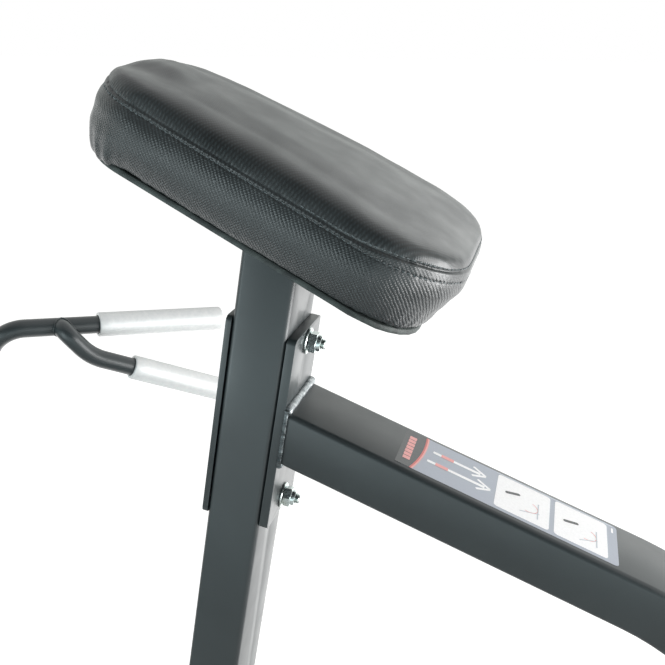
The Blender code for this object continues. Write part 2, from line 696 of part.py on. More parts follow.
def build_pivot(machine):
    """Brackets on the rail, the shaft they hold, and the hubs and bushes that turn on it."""
    inner_y = BRACKET_Y + BRACKET_THICK / 2 + GAP
    bush_bore = SHAFT_RADIUS + RUNNING_FIT
    bush_outer = bush_bore + BUSH_WALL
    hub_bore = bush_outer + GAP
    length = HUB_OUTER_Y - inner_y
    shaft_half = HUB_OUTER_Y + 2 * GAP + PIVOT_NUT_HIGH + 0.004
    outline = bracket_outline()
    hole = circle(SHAFT_RADIUS + GAP)
    bracket = flat_mesh("pivot_bracket", [outline, hole], BRACKET_THICK)
    nut = flat_mesh("pivot_nut", [hexagon(PIVOT_NUT_ACROSS), circle(SHAFT_RADIUS + GAP)],
                    PIVOT_NUT_HIGH)
    shaft = machine.add("pivot_shaft", flat_mesh("pivot_shaft", [circle(SHAFT_RADIUS)],
                                                 2 * shaft_half), "zinc")
    place(shaft, PIVOT, square_to(SIDEWAYS), SIDEWAYS)
    hub_mesh = flat_mesh("pivot_hub", [circle(hub_bore + HUB_WALL), circle(hub_bore)], length)
    bush_mesh = flat_mesh("pivot_bush", [circle(bush_outer), circle(bush_bore)], length)
    for side, hand in SIDES:
        place(machine.add("pivot_bracket_" + side, bracket, "powder_coat"),
              PIVOT + SIDEWAYS * (hand * BRACKET_Y), Vector((1, 0, 0)), -SIDEWAYS)
        middle = PIVOT + SIDEWAYS * (hand * (inner_y + length / 2))
        hub = machine.add("pivot_hub_" + side, hub_mesh, "powder_coat", moving=True)
        place(hub, middle, square_to(SIDEWAYS), SIDEWAYS)
        bush = machine.add("pivot_bush_" + side, bush_mesh, "bronze", moving=True)
        place(bush, middle, square_to(SIDEWAYS), SIDEWAYS)
        nut_y = HUB_OUTER_Y + GAP + PIVOT_NUT_HIGH / 2
        place(machine.add("pivot_nut_" + side, nut, "zinc"),
              PIVOT + SIDEWAYS * (hand * nut_y), square_to(SIDEWAYS), SIDEWAYS)


def bracket_outline(steps=10):
    """A plate with a long foot on the rail's side and a round head at the pivot, in (x, z)."""
    foot = BRACKET_FOOT_Z - PIVOT_Z
    half = BRACKET_FOOT_LONG / 2
    points = [(-half, foot), (half, foot)]
    lean = math.radians(14)
    for i in range(steps + 1):
        angle = lean + (math.pi - 2 * lean) * i / steps
        points.append((BRACKET_HEAD_RADIUS * math.cos(angle), BRACKET_HEAD_RADIUS * math.sin(angle)))
    return points


def build_stop(machine):
    """A short post on the front foot tube with a rubber bumper under the lever's cross tube."""
    seat = LEVER_FRONT - LEVER_UP * (CROSS_TUBE_SIDE / 2 + GAP + BUMPER_HIGH)
    cap_seat = seat - LEVER_UP * (GAP + PLUG_FLANGE)
    top = (cap_seat - LEVER_UP * GAP, LEVER_UP)
    foot = (Vector((0, 0, BASE_TOP_Z + GAP)), UP)
    drop = (cap_seat.z - BASE_TOP_Z) / LEVER_UP.z
    stations = [(cap_seat - LEVER_UP * drop, LEVER_UP), (cap_seat, LEVER_UP)]
    mesh = swept_tube_mesh("stop_post", stations, STOP_TUBE_SIDE, STOP_TUBE_SIDE,
                           FRAME_TUBE_WALL, foot, top)
    machine.add("stop_post", mesh, "powder_coat")
    plug(machine, "stop_cap", STOP_TUBE_SIDE, FRAME_TUBE_WALL, cap_seat, LEVER_UP, SIDEWAYS)
    edge = 0.003
    profile = [(0, BUMPER_HIGH), (BUMPER_RADIUS - edge, BUMPER_HIGH),
               (BUMPER_RADIUS, BUMPER_HIGH - edge), (BUMPER_RADIUS, 0), (0, 0)]
    machine.turned("stop_bumper", profile, "rubber", seat, LEVER_UP)


def build_horns(machine):
    """Tubes for weight plates on both ends of the cross tube, each with its collar and cap."""
    inner = HORN_RADIUS - HORN_WALL
    profile = [(HORN_RADIUS, HORN_LENGTH), (HORN_RADIUS, HORN_COLLAR_THICK),
               (HORN_COLLAR_RADIUS, HORN_COLLAR_THICK), (HORN_COLLAR_RADIUS, 0),
               (inner, 0), (inner, HORN_LENGTH)]
    cap = [(0, HORN_CAP_FLANGE), (HORN_RADIUS - 0.003, HORN_CAP_FLANGE),
           (HORN_RADIUS, HORN_CAP_FLANGE - 0.002), (HORN_RADIUS, 0), (inner - GAP, 0),
           (inner - GAP, -HORN_CAP_PLUG), (0, -HORN_CAP_PLUG)]
    for side, hand in SIDES:
        seat = LEVER_FRONT + SIDEWAYS * (hand * (CROSS_TUBE_LENGTH / 2 + GAP))
        out = SIDEWAYS * hand
        machine.turned("weight_horn_" + side, profile, "chrome", seat, out, True, ring=True)
        machine.turned("horn_cap_" + side, cap, "plastic", seat + out * (HORN_LENGTH + GAP),
                       out, True)


def mirrored(point, hand):
    return Vector((point.x, point.y * hand, point.z))


def along_to_x(point, way, x):
    """The point of a line that has the given X."""
    return point + way * ((x - point.x) / way.x)


def build_handles(machine):
    """Two bars that rise from the cross tube and carry an outer and an inner grip each."""
    datum = on_post(0, 0)
    outer_way = OUTER_GRIP_WAY.normalized()
    inner_way = INNER_GRIP_WAY.normalized()
    outer = datum + OUTER_GRIP_START
    inner = datum + INNER_GRIP_START
    rod_reach = GRIP_LENGTH - GRIP_END - GAP
    foot = LEVER_FRONT + LEVER_UP * (CROSS_TUBE_SIDE / 2 + GAP) + SIDEWAYS * HANDLE_FOOT_Y
    bar_corners = [foot, foot + LEVER_UP * HANDLE_RISE,
                   along_to_x(outer, outer_way, datum.x + HANDLE_TOP_X),
                   outer + outer_way * rod_reach]
    branch = outer - outer_way * BRANCH_FROM_GRIP
    branch_out = outer_way.cross(UP).normalized()
    branch_corners = [branch, branch + branch_out * BRANCH_STAND_OFF,
                      along_to_x(inner, inner_way, datum.x + INNER_KNEE_X),
                      inner + inner_way * rod_reach]
    cope_radius = HANDLE_BAR_RADIUS + GAP
    for side, hand in SIDES:
        path = rounded_path([mirrored(c, hand) for c in bar_corners],
                            (HANDLE_FOOT_RADIUS, HANDLE_BEND_RADIUS))
        bar_name = "handle_bar_" + side
        machine.add(bar_name, bar_mesh(bar_name, path, HANDLE_BAR_RADIUS), "powder_coat", True)
        path = rounded_path([mirrored(c, hand) for c in branch_corners],
                            (BRANCH_ELBOW_RADIUS, BRANCH_BEND_RADIUS))
        branch_name = "handle_branch_" + side
        fork = machine.add(branch_name, bar_mesh(branch_name, path, HANDLE_BAR_RADIUS),
                           "powder_coat", True)
        cope = machine.cutter("cope_" + side, flat_mesh("cope_" + side, [circle(cope_radius)],
                                                        2 * BRANCH_FROM_GRIP))
        place(cope, mirrored(branch, hand), square_to(mirrored(outer_way, hand)),
              mirrored(outer_way, hand))
        machine.cut(fork, cope)
        grip(machine, "outer_grip_" + side, mirrored(outer, hand), mirrored(outer_way, hand))
        grip(machine, "inner_grip_" + side, mirrored(inner, hand), mirrored(inner_way, hand))


def grip(machine, name, start, way):
    """An aluminium sleeve with a closed, rounded far end."""
    bore = HANDLE_BAR_RADIUS + GAP
    edge = 0.002
    profile = [(0, GRIP_LENGTH), (GRIP_RADIUS - edge, GRIP_LENGTH),
               (GRIP_RADIUS, GRIP_LENGTH - edge), (GRIP_RADIUS, edge / 2),
               (GRIP_RADIUS - edge / 2, 0), (bore, 0), (bore, GRIP_LENGTH - GRIP_END),
               (0, GRIP_LENGTH - GRIP_END)]
    return machine.turned(name, profile, "aluminium", start, way, True)


def build_foot_plates(machine):
    """Plates that lean on the rest tube, their lower edge on the rear foot tube."""
    rest = Vector((REST_TUBE_X + REST_TUBE_SIDE / 2 - TUBE_CORNER, 0,
                   BASE_TOP_Z + GAP + REST_TUBE_SIDE - TUBE_CORNER))
    rear = Vector((FOOT_CENTRE_X - FRAME_TUBE_WIDE / 2 + TUBE_CORNER, 0, BASE_TOP_Z - TUBE_CORNER))
    way = (rear - rest).normalized()
    up = Vector((-way.z, 0, way.x))
    middle = rear + up * (TUBE_CORNER + GAP + FOOT_PLATE_THICK / 2) - way * (FOOT_PLATE_LONG / 2)
    plate = flat_mesh("foot_plate", [rounded_rectangle(FOOT_PLATE_LONG, FOOT_PLATE_WIDE,
                                                       FOOT_PLATE_CORNER)], FOOT_PLATE_THICK)
    margin = 2 * FOOT_MAT_MARGIN
    mat = flat_mesh("foot_mat", [rounded_rectangle(FOOT_PLATE_LONG - margin, FOOT_PLATE_WIDE - margin,
                                                   FOOT_PLATE_CORNER - FOOT_MAT_MARGIN)],
                    FOOT_MAT_THICK)
    lift = FOOT_PLATE_THICK / 2 + GAP + FOOT_MAT_THICK / 2
    for side, hand in SIDES:
        centre = middle + SIDEWAYS * (hand * FOOT_PLATE_Y)
        place(machine.add("foot_plate_" + side, plate, "powder_coat"), centre, way, up)
        place(machine.add("foot_mat_" + side, mat, "rubber"), centre + up * lift, way, up)


def main():
    clear_scene()
    machine = Machine()
    build_base(machine)
    build_post(machine)
    build_flange_joint(machine)
    build_beam(machine)
    build_pad(machine)
    build_lever_frame(machine)
    build_pivot(machine)
    build_stop(machine)
    build_horns(machine)
    build_handles(machine)
    build_foot_plates(machine)


main()
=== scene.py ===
import math
import random

import bmesh
import bpy
from mathutils import Matrix, Vector
from mathutils.kdtree import KDTree


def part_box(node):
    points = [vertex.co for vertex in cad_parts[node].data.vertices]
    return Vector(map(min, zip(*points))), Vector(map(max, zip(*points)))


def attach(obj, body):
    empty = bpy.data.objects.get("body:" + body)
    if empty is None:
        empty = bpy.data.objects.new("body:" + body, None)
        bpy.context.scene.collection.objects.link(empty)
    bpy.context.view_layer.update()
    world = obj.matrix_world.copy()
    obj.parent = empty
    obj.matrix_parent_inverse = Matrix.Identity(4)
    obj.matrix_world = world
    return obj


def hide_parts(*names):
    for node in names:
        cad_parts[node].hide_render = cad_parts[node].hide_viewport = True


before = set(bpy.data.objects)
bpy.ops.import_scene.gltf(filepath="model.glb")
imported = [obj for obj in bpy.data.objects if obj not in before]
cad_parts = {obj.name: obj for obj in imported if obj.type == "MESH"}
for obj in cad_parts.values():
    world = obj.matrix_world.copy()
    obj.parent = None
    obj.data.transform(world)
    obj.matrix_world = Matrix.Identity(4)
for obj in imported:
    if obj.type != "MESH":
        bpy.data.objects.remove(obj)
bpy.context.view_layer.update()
bpy.ops.object.select_all(action="DESELECT")
print("frame loaded, nodes:", len(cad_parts))

# The machine's main lines, in metres and degrees
layout = {
    "postFoot": (-0.120, 0.0, 0.700),  # foot of the flange plate on the post's rear face
    "postLean": 9.38,
    "beamTilt": 11.91,
    "beamTop": 0.120,  # up along the post
    "beamStraight": 0.330, "beamRadius": 0.220, "beamBend": 32.0,
    "padTilt": 16.8,
    "padMiddle": 0.269,  # up along the post
    "tubeWide": 0.080, "tubeDeep": 0.050, "tubeCorner": 0.005,
    "plateThick": 0.008,
    "railTop": 0.0553,
    "pivot": (0.480, 0.0, 0.165),
    "leverFront": (-0.800, 0.0, 0.280),
    "gap": 0.0003,
}
hands = (("left", 1), ("right", -1))
sideways, upwards = Vector((0, 1, 0)), Vector((0, 0, 1))


def axes(pitch):  # the way along something that slopes down to the rear, and the way up from it
    return Vector((math.cos(pitch), 0, -math.sin(pitch))), Vector((math.sin(pitch), 0, math.cos(pitch)))


lean = math.radians(layout["postLean"])
beamPitch = lean + math.radians(layout["beamTilt"])
postNormal, postUp = axes(lean)
beamWay, beamUp = axes(beamPitch)
padWay, padUp = axes(lean + math.radians(layout["padTilt"]))
pivot, leverFront = Vector(layout["pivot"]), Vector(layout["leverFront"])
leverWay = (leverFront - pivot).normalized()
leverUp = Vector((leverWay.z, 0, -leverWay.x))


def onPost(q, p, y=0.0):  # q behind the post's rear face, p up along the post
    return Vector(layout["postFoot"]) + postNormal * q + postUp * p + sideways * y


def beamRoot(q):  # the beam's centre line at q behind the post
    return onPost(q, layout["beamTop"] - layout["tubeDeep"] / 2 / math.cos(math.radians(layout["beamTilt"])))


# Camera, lamps, backdrop

camera = {"place": (0.1251, -0.7181, 1.1343), "turn": (71.08, 0.0, 14.48), "lens": 48.72}
lamps = [  # name, place, aim, size, power, colour, shows in reflections
    ("frontBox", (-0.84, -0.78, 0.76), (-0.25, 0.0, 0.88), (1.1, 0.8), 9, "dcebee", False),
    ("rightBox", (1.70, -0.10, 0.55), (0.20, 0.0, 0.90), (1.2, 1.2), 50, "ffffff", True),
    ("leftBox", (-0.86, -0.95, 0.92), (-0.35, 0.20, 0.85), (0.5, 0.5), 3.5, "dfeef2", True),
    ("backPanel", (1.60, 3.40, 2.30), (0.10, 0.0, 0.90), (2.8, 2.6), 20, "ffffff", True),
]
studio = {
    # what reflections meet, by the height of the direction from down to up, and where front turns into back
    "back": ((0.0, "fbfffc"), (0.50, "fbfffc"), (0.75, "fbfffc"), (0.87, 1.0), (1.0, 0.80)),
    "front": ((0.0, "e8f8fb"), (0.46, "e4f6f9"), (0.60, "8fa0a3"), (0.75, 0.06), (1.0, 0.15)),
    "frontToBack": (-0.60, -0.10),
    "even": 0.5,  # what matt surfaces receive from all round
    "floor": "c4c4c2", "floorSize": 60, "floorGlow": 0.78, "floorMirror": 1.8,
    "floorTones": ((-4.0, "dff0f3"), (-2.4, "c8dade"), (-1.2, "2b2c2c"), (-0.5, "000000"),
                   (0.9, "f2f2f2")),  # in reflections, from front to rear
}


def addObject(name, data):
    holder = bpy.data.objects.new(name, data)
    bpy.context.scene.collection.objects.link(holder)
    return holder


def linear(hexColour):
    parts = [int(hexColour[i:i + 2], 16) / 255 for i in (0, 2, 4)]
    return [c / 12.92 if c <= 0.04045 else ((c + 0.055) / 1.055) ** 2.4 for c in parts] + [1]


def cleanTree(owner):
    owner.use_nodes = True
    owner.node_tree.nodes.clear()
    return owner.node_tree


def addNode(tree, kind, inputs=None, **settings):  # a value or another node's socket per input
    node = tree.nodes.new(kind)
    for name, value in settings.items():
        setattr(node, name, value)
    for name, value in (inputs or {}).items():
        if isinstance(value, bpy.types.NodeSocket):
            tree.links.new(value, node.inputs[name])
        else:
            node.inputs[name].default_value = value
    return node


def addRamp(tree, factor, stops):  # stops of (place, brightness or hex colour)
    ramp = addNode(tree, "ShaderNodeValToRGB", {"Fac": factor})
    elements = ramp.color_ramp.elements
    while len(elements) < len(stops):
        elements.new(0.5)
    for element, (place, shade) in zip(elements, stops):
        element.position = place
        element.color = linear(shade) if isinstance(shade, str) else (shade, shade, shade, 1)
    return ramp.outputs[0]


def calculate(tree, operation, one, two=0.0):
    return addNode(tree, "ShaderNodeMath", {0: one, 1: two}, operation=operation).outputs[0]


def mapRange(tree, value, fromMin, fromMax, toMin=0.0, toMax=1.0):
    return addNode(tree, "ShaderNodeMapRange", {"Value": value, "From Min": fromMin, "From Max": fromMax,
                                                "To Min": toMin, "To Max": toMax}).outputs[0]


def mixColour(tree, factor, one, two):  # each colour a socket, a value or a hex colour
    one, two = [linear(colour) if isinstance(colour, str) else colour for colour in (one, two)]
    return addNode(tree, "ShaderNodeMix", {0: factor, 6: one, 7: two}, data_type="RGBA").outputs[2]


def separate(tree, vector):
    return addNode(tree, "ShaderNodeSeparateXYZ", {"Vector": vector}).outputs


def lightPath(tree):  # the kinds of ray, and 1 for those of the camera's own view
    path = addNode(tree, "ShaderNodeLightPath").outputs
    return path, calculate(tree, "MAXIMUM", path["Is Camera Ray"], path["Is Transmission Ray"])


def buildCamera():
    view = bpy.data.cameras.new("photoCamera")
    view.lens = camera["lens"]
    holder = addObject("photoCamera", view)
    holder.location = camera["place"]
    holder.rotation_euler = [math.radians(a) for a in camera["turn"]]
    bpy.context.scene.camera = holder


def buildLamps():
    for name, place, aim, size, power, colour, shown in lamps:
        lamp = bpy.data.lights.new(name, "AREA")
        lamp.shape = "RECTANGLE"
        lamp.size, lamp.size_y = size
        lamp.energy = power
        lamp.color = linear(colour)[:3]
        stand = addObject(name, lamp)
        stand.location = place
        stand.visible_camera = False
        stand.visible_glossy = shown
        stand.rotation_euler = (Vector(aim) - Vector(place)).to_track_quat("-Z", "Y").to_euler()


def buildWorld():
    world = bpy.data.worlds.new("studio")
    bpy.context.scene.world = world
    tree = cleanTree(world)
    way = separate(tree, addNode(tree, "ShaderNodeTexCoord").outputs["Generated"])
    height = mapRange(tree, way["Z"], -1.0, 1.0)
    front, back = [addRamp(tree, height, studio[side]) for side in ("front", "back")]
    room = mixColour(tree, mapRange(tree, way["Y"], *studio["frontToBack"]), front, back)
    white = linear("ffffff")
    room, even, white = [
        addNode(tree, "ShaderNodeBackground", {"Color": colour, "Strength": strength}).outputs[0]
        for colour, strength in ((room, 1.0), (white, studio["even"]), (white, 1.0))]
    path, seen = lightPath(tree)
    mix = addNode(tree, "ShaderNodeMixShader", {0: path["Is Glossy Ray"], 1: even, 2: room})
    mix = addNode(tree, "ShaderNodeMixShader", {0: seen, 1: mix.outputs[0], 2: white})
    addNode(tree, "ShaderNodeOutputWorld", {"Surface": mix.outputs[0]})
    world.cycles.sampling_method = "NONE"


def buildFloor():
    bpy.ops.mesh.primitive_plane_add(size=studio["floorSize"], location=(0, 0, 0))
    floor = bpy.context.object
    floor.name = "studioFloor"
    material = bpy.data.materials.new("paleStudioFloor")
    tree = cleanTree(material)
    matt = addNode(tree, "ShaderNodeBsdfDiffuse", {"Color": linear(studio["floor"])})
    path, seen = lightPath(tree)
    glow = calculate(tree, "ADD", calculate(tree, "MULTIPLY", seen, studio["floorGlow"]),
                     calculate(tree, "MULTIPLY", path["Is Glossy Ray"], studio["floorMirror"]))
    low, high = studio["floorTones"][0][0], studio["floorTones"][-1][0]
    along = mapRange(tree, separate(tree, addNode(tree, "ShaderNodeNewGeometry").outputs["Position"])["Y"],
                     low, high)
    tones = addRamp(tree, along, [((y - low) / (high - low), tone) for y, tone in studio["floorTones"]])
    tones = mixColour(tree, seen, tones, "ffffff")
    lit = addNode(tree, "ShaderNodeEmission", {"Color": tones, "Strength": glow})
    both = addNode(tree, "ShaderNodeAddShader", {0: matt.outputs[0], 1: lit.outputs[0]})
    addNode(tree, "ShaderNodeOutputMaterial", {"Surface": both.outputs[0]})
    floor.data.materials.append(material)


def buildStudio():
    buildCamera()
    buildLamps()
    buildWorld()
    buildFloor()
    bpy.context.scene.view_settings.view_transform = "Standard"
    print("studio ready")


# Finishes

def socketOf(material, name):
    return material.node_tree.nodes["Principled BSDF"].inputs[name]


def feed(material, name, source):
    material.node_tree.links.new(source, socketOf(material, name))


def addNoise(tree, scale, detail, stretch=None):
    place = addNode(tree, "ShaderNodeTexCoord").outputs["Object"]
    if stretch:
        place = addNode(tree, "ShaderNodeMapping", {"Vector": place, "Scale": stretch}).outputs[0]
    return addNode(tree, "ShaderNodeTexNoise",
                   {"Vector": place, "Scale": scale, "Detail": detail}).outputs["Fac"]


def spread(tree, scale, detail, low, high, stretch=None):  # noise that fills a range of values
    return mapRange(tree, addNoise(tree, scale, detail, stretch), 0.3, 0.7, low, high)


def addWaves(tree, place, turn, pitch, **settings):  # at scale 1 a wave is 0.314 long
    turned = addNode(tree, "ShaderNodeMapping", {"Vector": place, "Rotation": (0, 0, math.radians(turn))})
    return addNode(tree, "ShaderNodeTexWave", {"Vector": turned.outputs[0], "Scale": 0.314 / pitch},
                   **settings).outputs["Fac"]


def addBump(material, height, strength, distance):  # on top of the bump that is there
    under = socketOf(material, "Normal").links
    inputs = {"Height": height, "Strength": strength, "Distance": distance}
    if under:
        inputs["Normal"] = under[0].from_socket
    feed(material, "Normal", addNode(material.node_tree, "ShaderNodeBump", inputs).outputs[0])


def overlay(material, factor, colour):  # one more colour on top of the base colour
    base = socketOf(material, "Base Color")
    under = base.links[0].from_socket if base.links else list(base.default_value)
    feed(material, "Base Color", mixColour(material.node_tree, factor, under, colour))


def addEdgeMask(tree, radius):  # 1 on sharp edges, 0 on flat faces
    rounded = addNode(tree, "ShaderNodeBevel", {"Radius": radius}, samples=4).outputs[0]
    plain = addNode(tree, "ShaderNodeNewGeometry").outputs["Normal"]
    same = addNode(tree, "ShaderNodeVectorMath", {0: rounded, 1: plain}, operation="DOT_PRODUCT")
    return mapRange(tree, same.outputs["Value"], 0.995, 0.90)


def makeFinish(name, colour, roughness, metallic=0.0, sockets=None, tone=None, gloss=None, grain=None,
               stretch=None):  # tone, gloss and grain begin with the scale and the detail of their noise
    material = bpy.data.materials.new(name)
    material.use_nodes = True
    tree = material.node_tree
    for socket, value in {"Base Color": linear(colour), "Roughness": roughness, "Metallic": metallic,
                          **(sockets or {})}.items():
        socketOf(material, socket).default_value = value
    if tone:  # then the colours
        feed(material, "Base Color", addRamp(tree, addNoise(tree, *tone[:2], stretch), tone[2]))
    if gloss:  # then the least and the greatest roughness
        feed(material, "Roughness", spread(tree, *gloss, stretch))
    if grain:  # then the strength and the depth
        addBump(material, addNoise(tree, *grain[:2], stretch), *grain[2:])
    return material


def satinPowderCoat():  # baked polyester powder on steel: fine orange peel, and a painted highlight, a paler colour along the sharp edges
    finish = {"colour": "1d2426", "tint": "252d2f", "edgeHighlight": "414b4e", "highlightWide": 0.0016, "highlightMost": 0.8}
    material = makeFinish("satinPowderCoat", finish["colour"], 0.4,
                          sockets={"IOR": 1.5, "Coat Weight": 0.5, "Coat Roughness": 0.38},
                          tone=(9, 4, ((0.3, finish["colour"]), (0.7, finish["tint"]))),
                          gloss=(24, 3, 0.36, 0.48), grain=(620, 1, 0.10, 0.0004))
    tree = material.node_tree
    # paler colour on the sharp edges, broken up by noise: a painted highlight
    overlay(material, calculate(tree, "MULTIPLY", addEdgeMask(tree, finish["highlightWide"]),
                                spread(tree, 60, 3, 0.0, finish["highlightMost"])), finish["edgeHighlight"])
    return material


def brushedWeld():  # wire-brushed weld metal: silver on top, a darker mottled grey where it runs down the beam's sides
    finish = {"silver": ((0.30, "7d8386"), (0.52, "a9aeb0"), (0.72, "b9bcbc")),
              "sideGrey": ((0.35, "3f4446"), (0.65, "6e7476")), "sides": (0.0375, 0.0400)}
    material = makeFinish("brushedWeld", "a3a7a9", 0.4, 0.85, tone=(260, 3, finish["silver"]),
                          gloss=(700, 2, 0.28, 0.52), grain=(1400, 2, 0.35, 0.0003))
    tree = material.node_tree
    place = separate(tree, addNode(tree, "ShaderNodeTexCoord").outputs["Object"])
    # a darker mottled grey on the bead where it lies on the beam's sides
    overlay(material, mapRange(tree, calculate(tree, "ABSOLUTE", place["Y"]), *finish["sides"]),
            addRamp(tree, addNoise(tree, 200, 3), finish["sideGrey"]))
    return material


def knurledAluminium():  # clear-anodised sleeve with a fine rolled diamond knurl, almost white
    finish = {"colour": "dddedd", "shade": "d4d6d6", "pitch": 0.0016, "slant": 30}
    material = makeFinish("knurledAluminium", finish["colour"], 0.5, 0.45, gloss=(320, 3, 0.48, 0.62),
                          tone=(210, 4, ((0.3, finish["colour"]), (0.7, finish["shade"]))))
    tree = material.node_tree
    around = addNode(tree, "ShaderNodeUVMap", uv_map="around").outputs[0]
    ridges = [addWaves(tree, around, turn, finish["pitch"], wave_profile="TRI")
              for turn in (finish["slant"], -finish["slant"])]
    addBump(material, calculate(tree, "MAXIMUM", *ridges), 0.18, 0.0002)
    return material


def embossedVinyl():  # PVC leathercloth with a rolled twill emboss: slanting ribs cut into small raised cells
    finish = {"colour": "242c2e", "paintedValleyShade": "0d1112", "cloud": "33393b", "cloudMost": 0.25,
              "rib": 0.0025, "cell": 0.0018, "slant": -42,  # 1.5 times the real weave, so that it shows
              "side": 0.80, "top": 0.14, "facing": (0.05, 0.40)}  # depth of the emboss
    material = makeFinish("embossedVinyl", finish["colour"], 0.42,
                          sockets={"IOR": 1.53, "Specular IOR Level": 0.68, "Coat Weight": 0.15,
                                   "Coat Roughness": 0.35},
                          gloss=(30, 3, 0.34, 0.46), grain=(1500, 2, 0.10, 0.0002))
    tree = material.node_tree
    cloth = addNode(tree, "ShaderNodeUVMap", uv_map="cloth").outputs[0]
    ribs = addWaves(tree, cloth, finish["slant"], finish["rib"], bands_direction="Y")
    cells = addWaves(tree, cloth, finish["slant"], finish["cell"], bands_direction="X")
    raised = calculate(tree, "MULTIPLY", ribs, mapRange(tree, cells, 0.0, 1.0, 0.25))
    # the emboss's low valleys get a darker colour: painted shade in the recesses
    feed(material, "Base Color", mixColour(tree, raised, finish["paintedValleyShade"], finish["colour"]))
    overlay(material, spread(tree, 14, 3, 0.0, finish["cloudMost"]), finish["cloud"])
    normal = addNode(tree, "ShaderNodeNewGeometry").outputs["Normal"]
    facing = addNode(tree, "ShaderNodeVectorMath", {0: normal, 1: padUp}, operation="DOT_PRODUCT")
    pressed = mapRange(tree, facing.outputs["Value"], *finish["facing"], finish["side"], finish["top"])
    addBump(material, raised, pressed, 0.0006)  # the top is pressed flat by use
    return material


def printedFilm(name, colour):  # screen-printed polyester film: flat ink with a faint mottle
    material = makeFinish(name, colour, 0.34, sockets={"IOR": 1.57}, grain=(700, 1, 0.05, 0.0002))
    overlay(material, spread(material.node_tree, 500, 3, 0.0, 0.10), "808080")
    return material


def sewingThread(name, colour):  # bonded nylon thread: twisted plies, slight gloss
    material = makeFinish(name, colour, 0.5)
    tree = material.node_tree
    twist = addNode(tree, "ShaderNodeTexWave", {"Vector": addNode(tree, "ShaderNodeTexCoord").outputs["Object"],
                                                "Scale": 900, "Distortion": 1.0},
                    bands_direction="DIAGONAL").outputs["Fac"]
    overlay(material, twist, "1b1f20")
    addBump(material, twist, 0.4, 0.0002)
    return material


powder = satinPowderCoat()
zinc = makeFinish(  # electroplated steel: cool mirror-like facets with a faint bloom
    "brightZinc", "dae4e5", 0.25, 1.0, tone=(90, 3, ((0.3, "dae4e5"), (0.7, "d2d9d3"))),
    gloss=(400, 2, 0.20, 0.36), grain=(900, 2, 0.10, 0.0002))
weldMetal = brushedWeld()
aluminium = knurledAluminium()
vinyl = embossedVinyl()
board = makeFinish(  # plywood edge and face under one coat of dark paint: faint grain
    "paintedBoard", "353c3b", 0.6, tone=(60, 4, ((0.35, "232828"), (0.65, "3e4644"))),
    grain=(60, 4, 0.3, 0.0004), stretch=(1, 8, 1))
rubber = makeFinish(  # black rubber: matt, with a pebbled mould texture and pale dust in it
    "mouldedRubber", "202122", 0.75, tone=(22, 5, ((0.35, "1b1c1d"), (0.70, "2c2d2d"))),
    gloss=(50, 3, 0.66, 0.86), grain=(800, 2, 0.35, 0.0003))
plastic = makeFinish(  # black polypropylene: fine spark-eroded grain
    "mouldedPlastic", "262829", 0.5, sockets={"IOR": 1.49},
    tone=(18, 3, ((0.35, "232526"), (0.70, "2e3031"))), gloss=(35, 3, 0.40, 0.56),
    grain=(1100, 1, 0.25, 0.0002))
bronze = makeFinish(  # porous oil-filled bush: dull brown yellow with small dark pores
    "sinteredBronze", "a9793f", 0.45, 0.9,
    tone=(1200, 2, ((0.30, "6e4c26"), (0.50, "a9793f"), (0.75, "bb8d52"))), grain=(1200, 2, 0.3, 0.0002))
chrome = makeFinish(  # chrome on ground tube: mirror with hair lines round the tube from sliding plates
    "platedChrome", "dfe2e3", 0.1, 1.0, gloss=(40, 3, 0.07, 0.22), grain=(40, 3, 0.06, 0.0002),
    stretch=(1, 40, 1))


slots = {"powder_coat": powder, "zinc": zinc, "weld": weldMetal, "aluminium": aluminium, "vinyl": vinyl,
         "board": board, "rubber": rubber, "plastic": plastic, "bronze": bronze, "chrome": chrome}


# Modelling help

def deselect():
    if bpy.context.object and bpy.context.object.mode != "OBJECT":
        bpy.ops.object.mode_set(mode="OBJECT")
    bpy.ops.object.select_all(action="DESELECT")


def pick(piece):  # makes one object the selected and active one
    deselect()
    piece.select_set(True)
    bpy.context.view_layer.objects.active = piece


def apply(piece):
    pick(piece)
    bpy.ops.object.transform_apply()


def edit(piece, select="SELECT"):
    pick(piece)
    bpy.ops.object.mode_set(mode="EDIT")
    bpy.ops.mesh.select_all(action=select)


def done():
    bpy.ops.object.mode_set(mode="OBJECT")


def closeUp():  # ends an edit: merges doubles and turns the faces outward
    bpy.ops.mesh.select_all(action="SELECT")
    bpy.ops.mesh.remove_doubles(threshold=1e-6)
    bpy.ops.mesh.normals_make_consistent(inside=False)
    done()


def chooseParts(piece, kind, wanted):  # selects the verts, edges or faces that pass the test
    shape = bmesh.from_edit_mesh(piece.data)
    for part in getattr(shape, kind):
        part.select_set(wanted(part))
    bmesh.update_edit_mesh(piece.data)


def useModifier(piece, kind, **settings):
    pick(piece)
    modifier = piece.modifiers.new(kind.lower(), kind)
    for name, value in settings.items():
        setattr(modifier, name, value)
    bpy.ops.object.modifier_apply(modifier=modifier.name)


def combine(piece, tool, operation):
    useModifier(piece, "BOOLEAN", operation=operation, object=tool, solver="EXACT")
    bpy.data.objects.remove(tool)


def bevelEdges(piece, width, segments=2, angle=38):
    useModifier(piece, "BEVEL", width=width, segments=segments, limit_method="ANGLE",
                angle_limit=math.radians(angle), use_clamp_overlap=True)


def joinAll(name, pieces):
    deselect()
    for piece in pieces:
        piece.select_set(True)
    bpy.context.view_layer.objects.active = pieces[0]
    bpy.ops.object.join()
    pieces[0].name = name
    return pieces[0]


def placeAlong(piece, origin, way, across=None):  # local Z goes along way, local X along across
    way = way.normalized()
    helper = across or (upwards if abs(way.z) < 0.9 else Vector((1, 0, 0)))
    yAxis = way.cross(helper).normalized()
    turn = Matrix((yAxis.cross(way), yAxis, way)).transposed()
    piece.matrix_world = Matrix.Translation(origin) @ turn.to_4x4()
    apply(piece)
    return piece


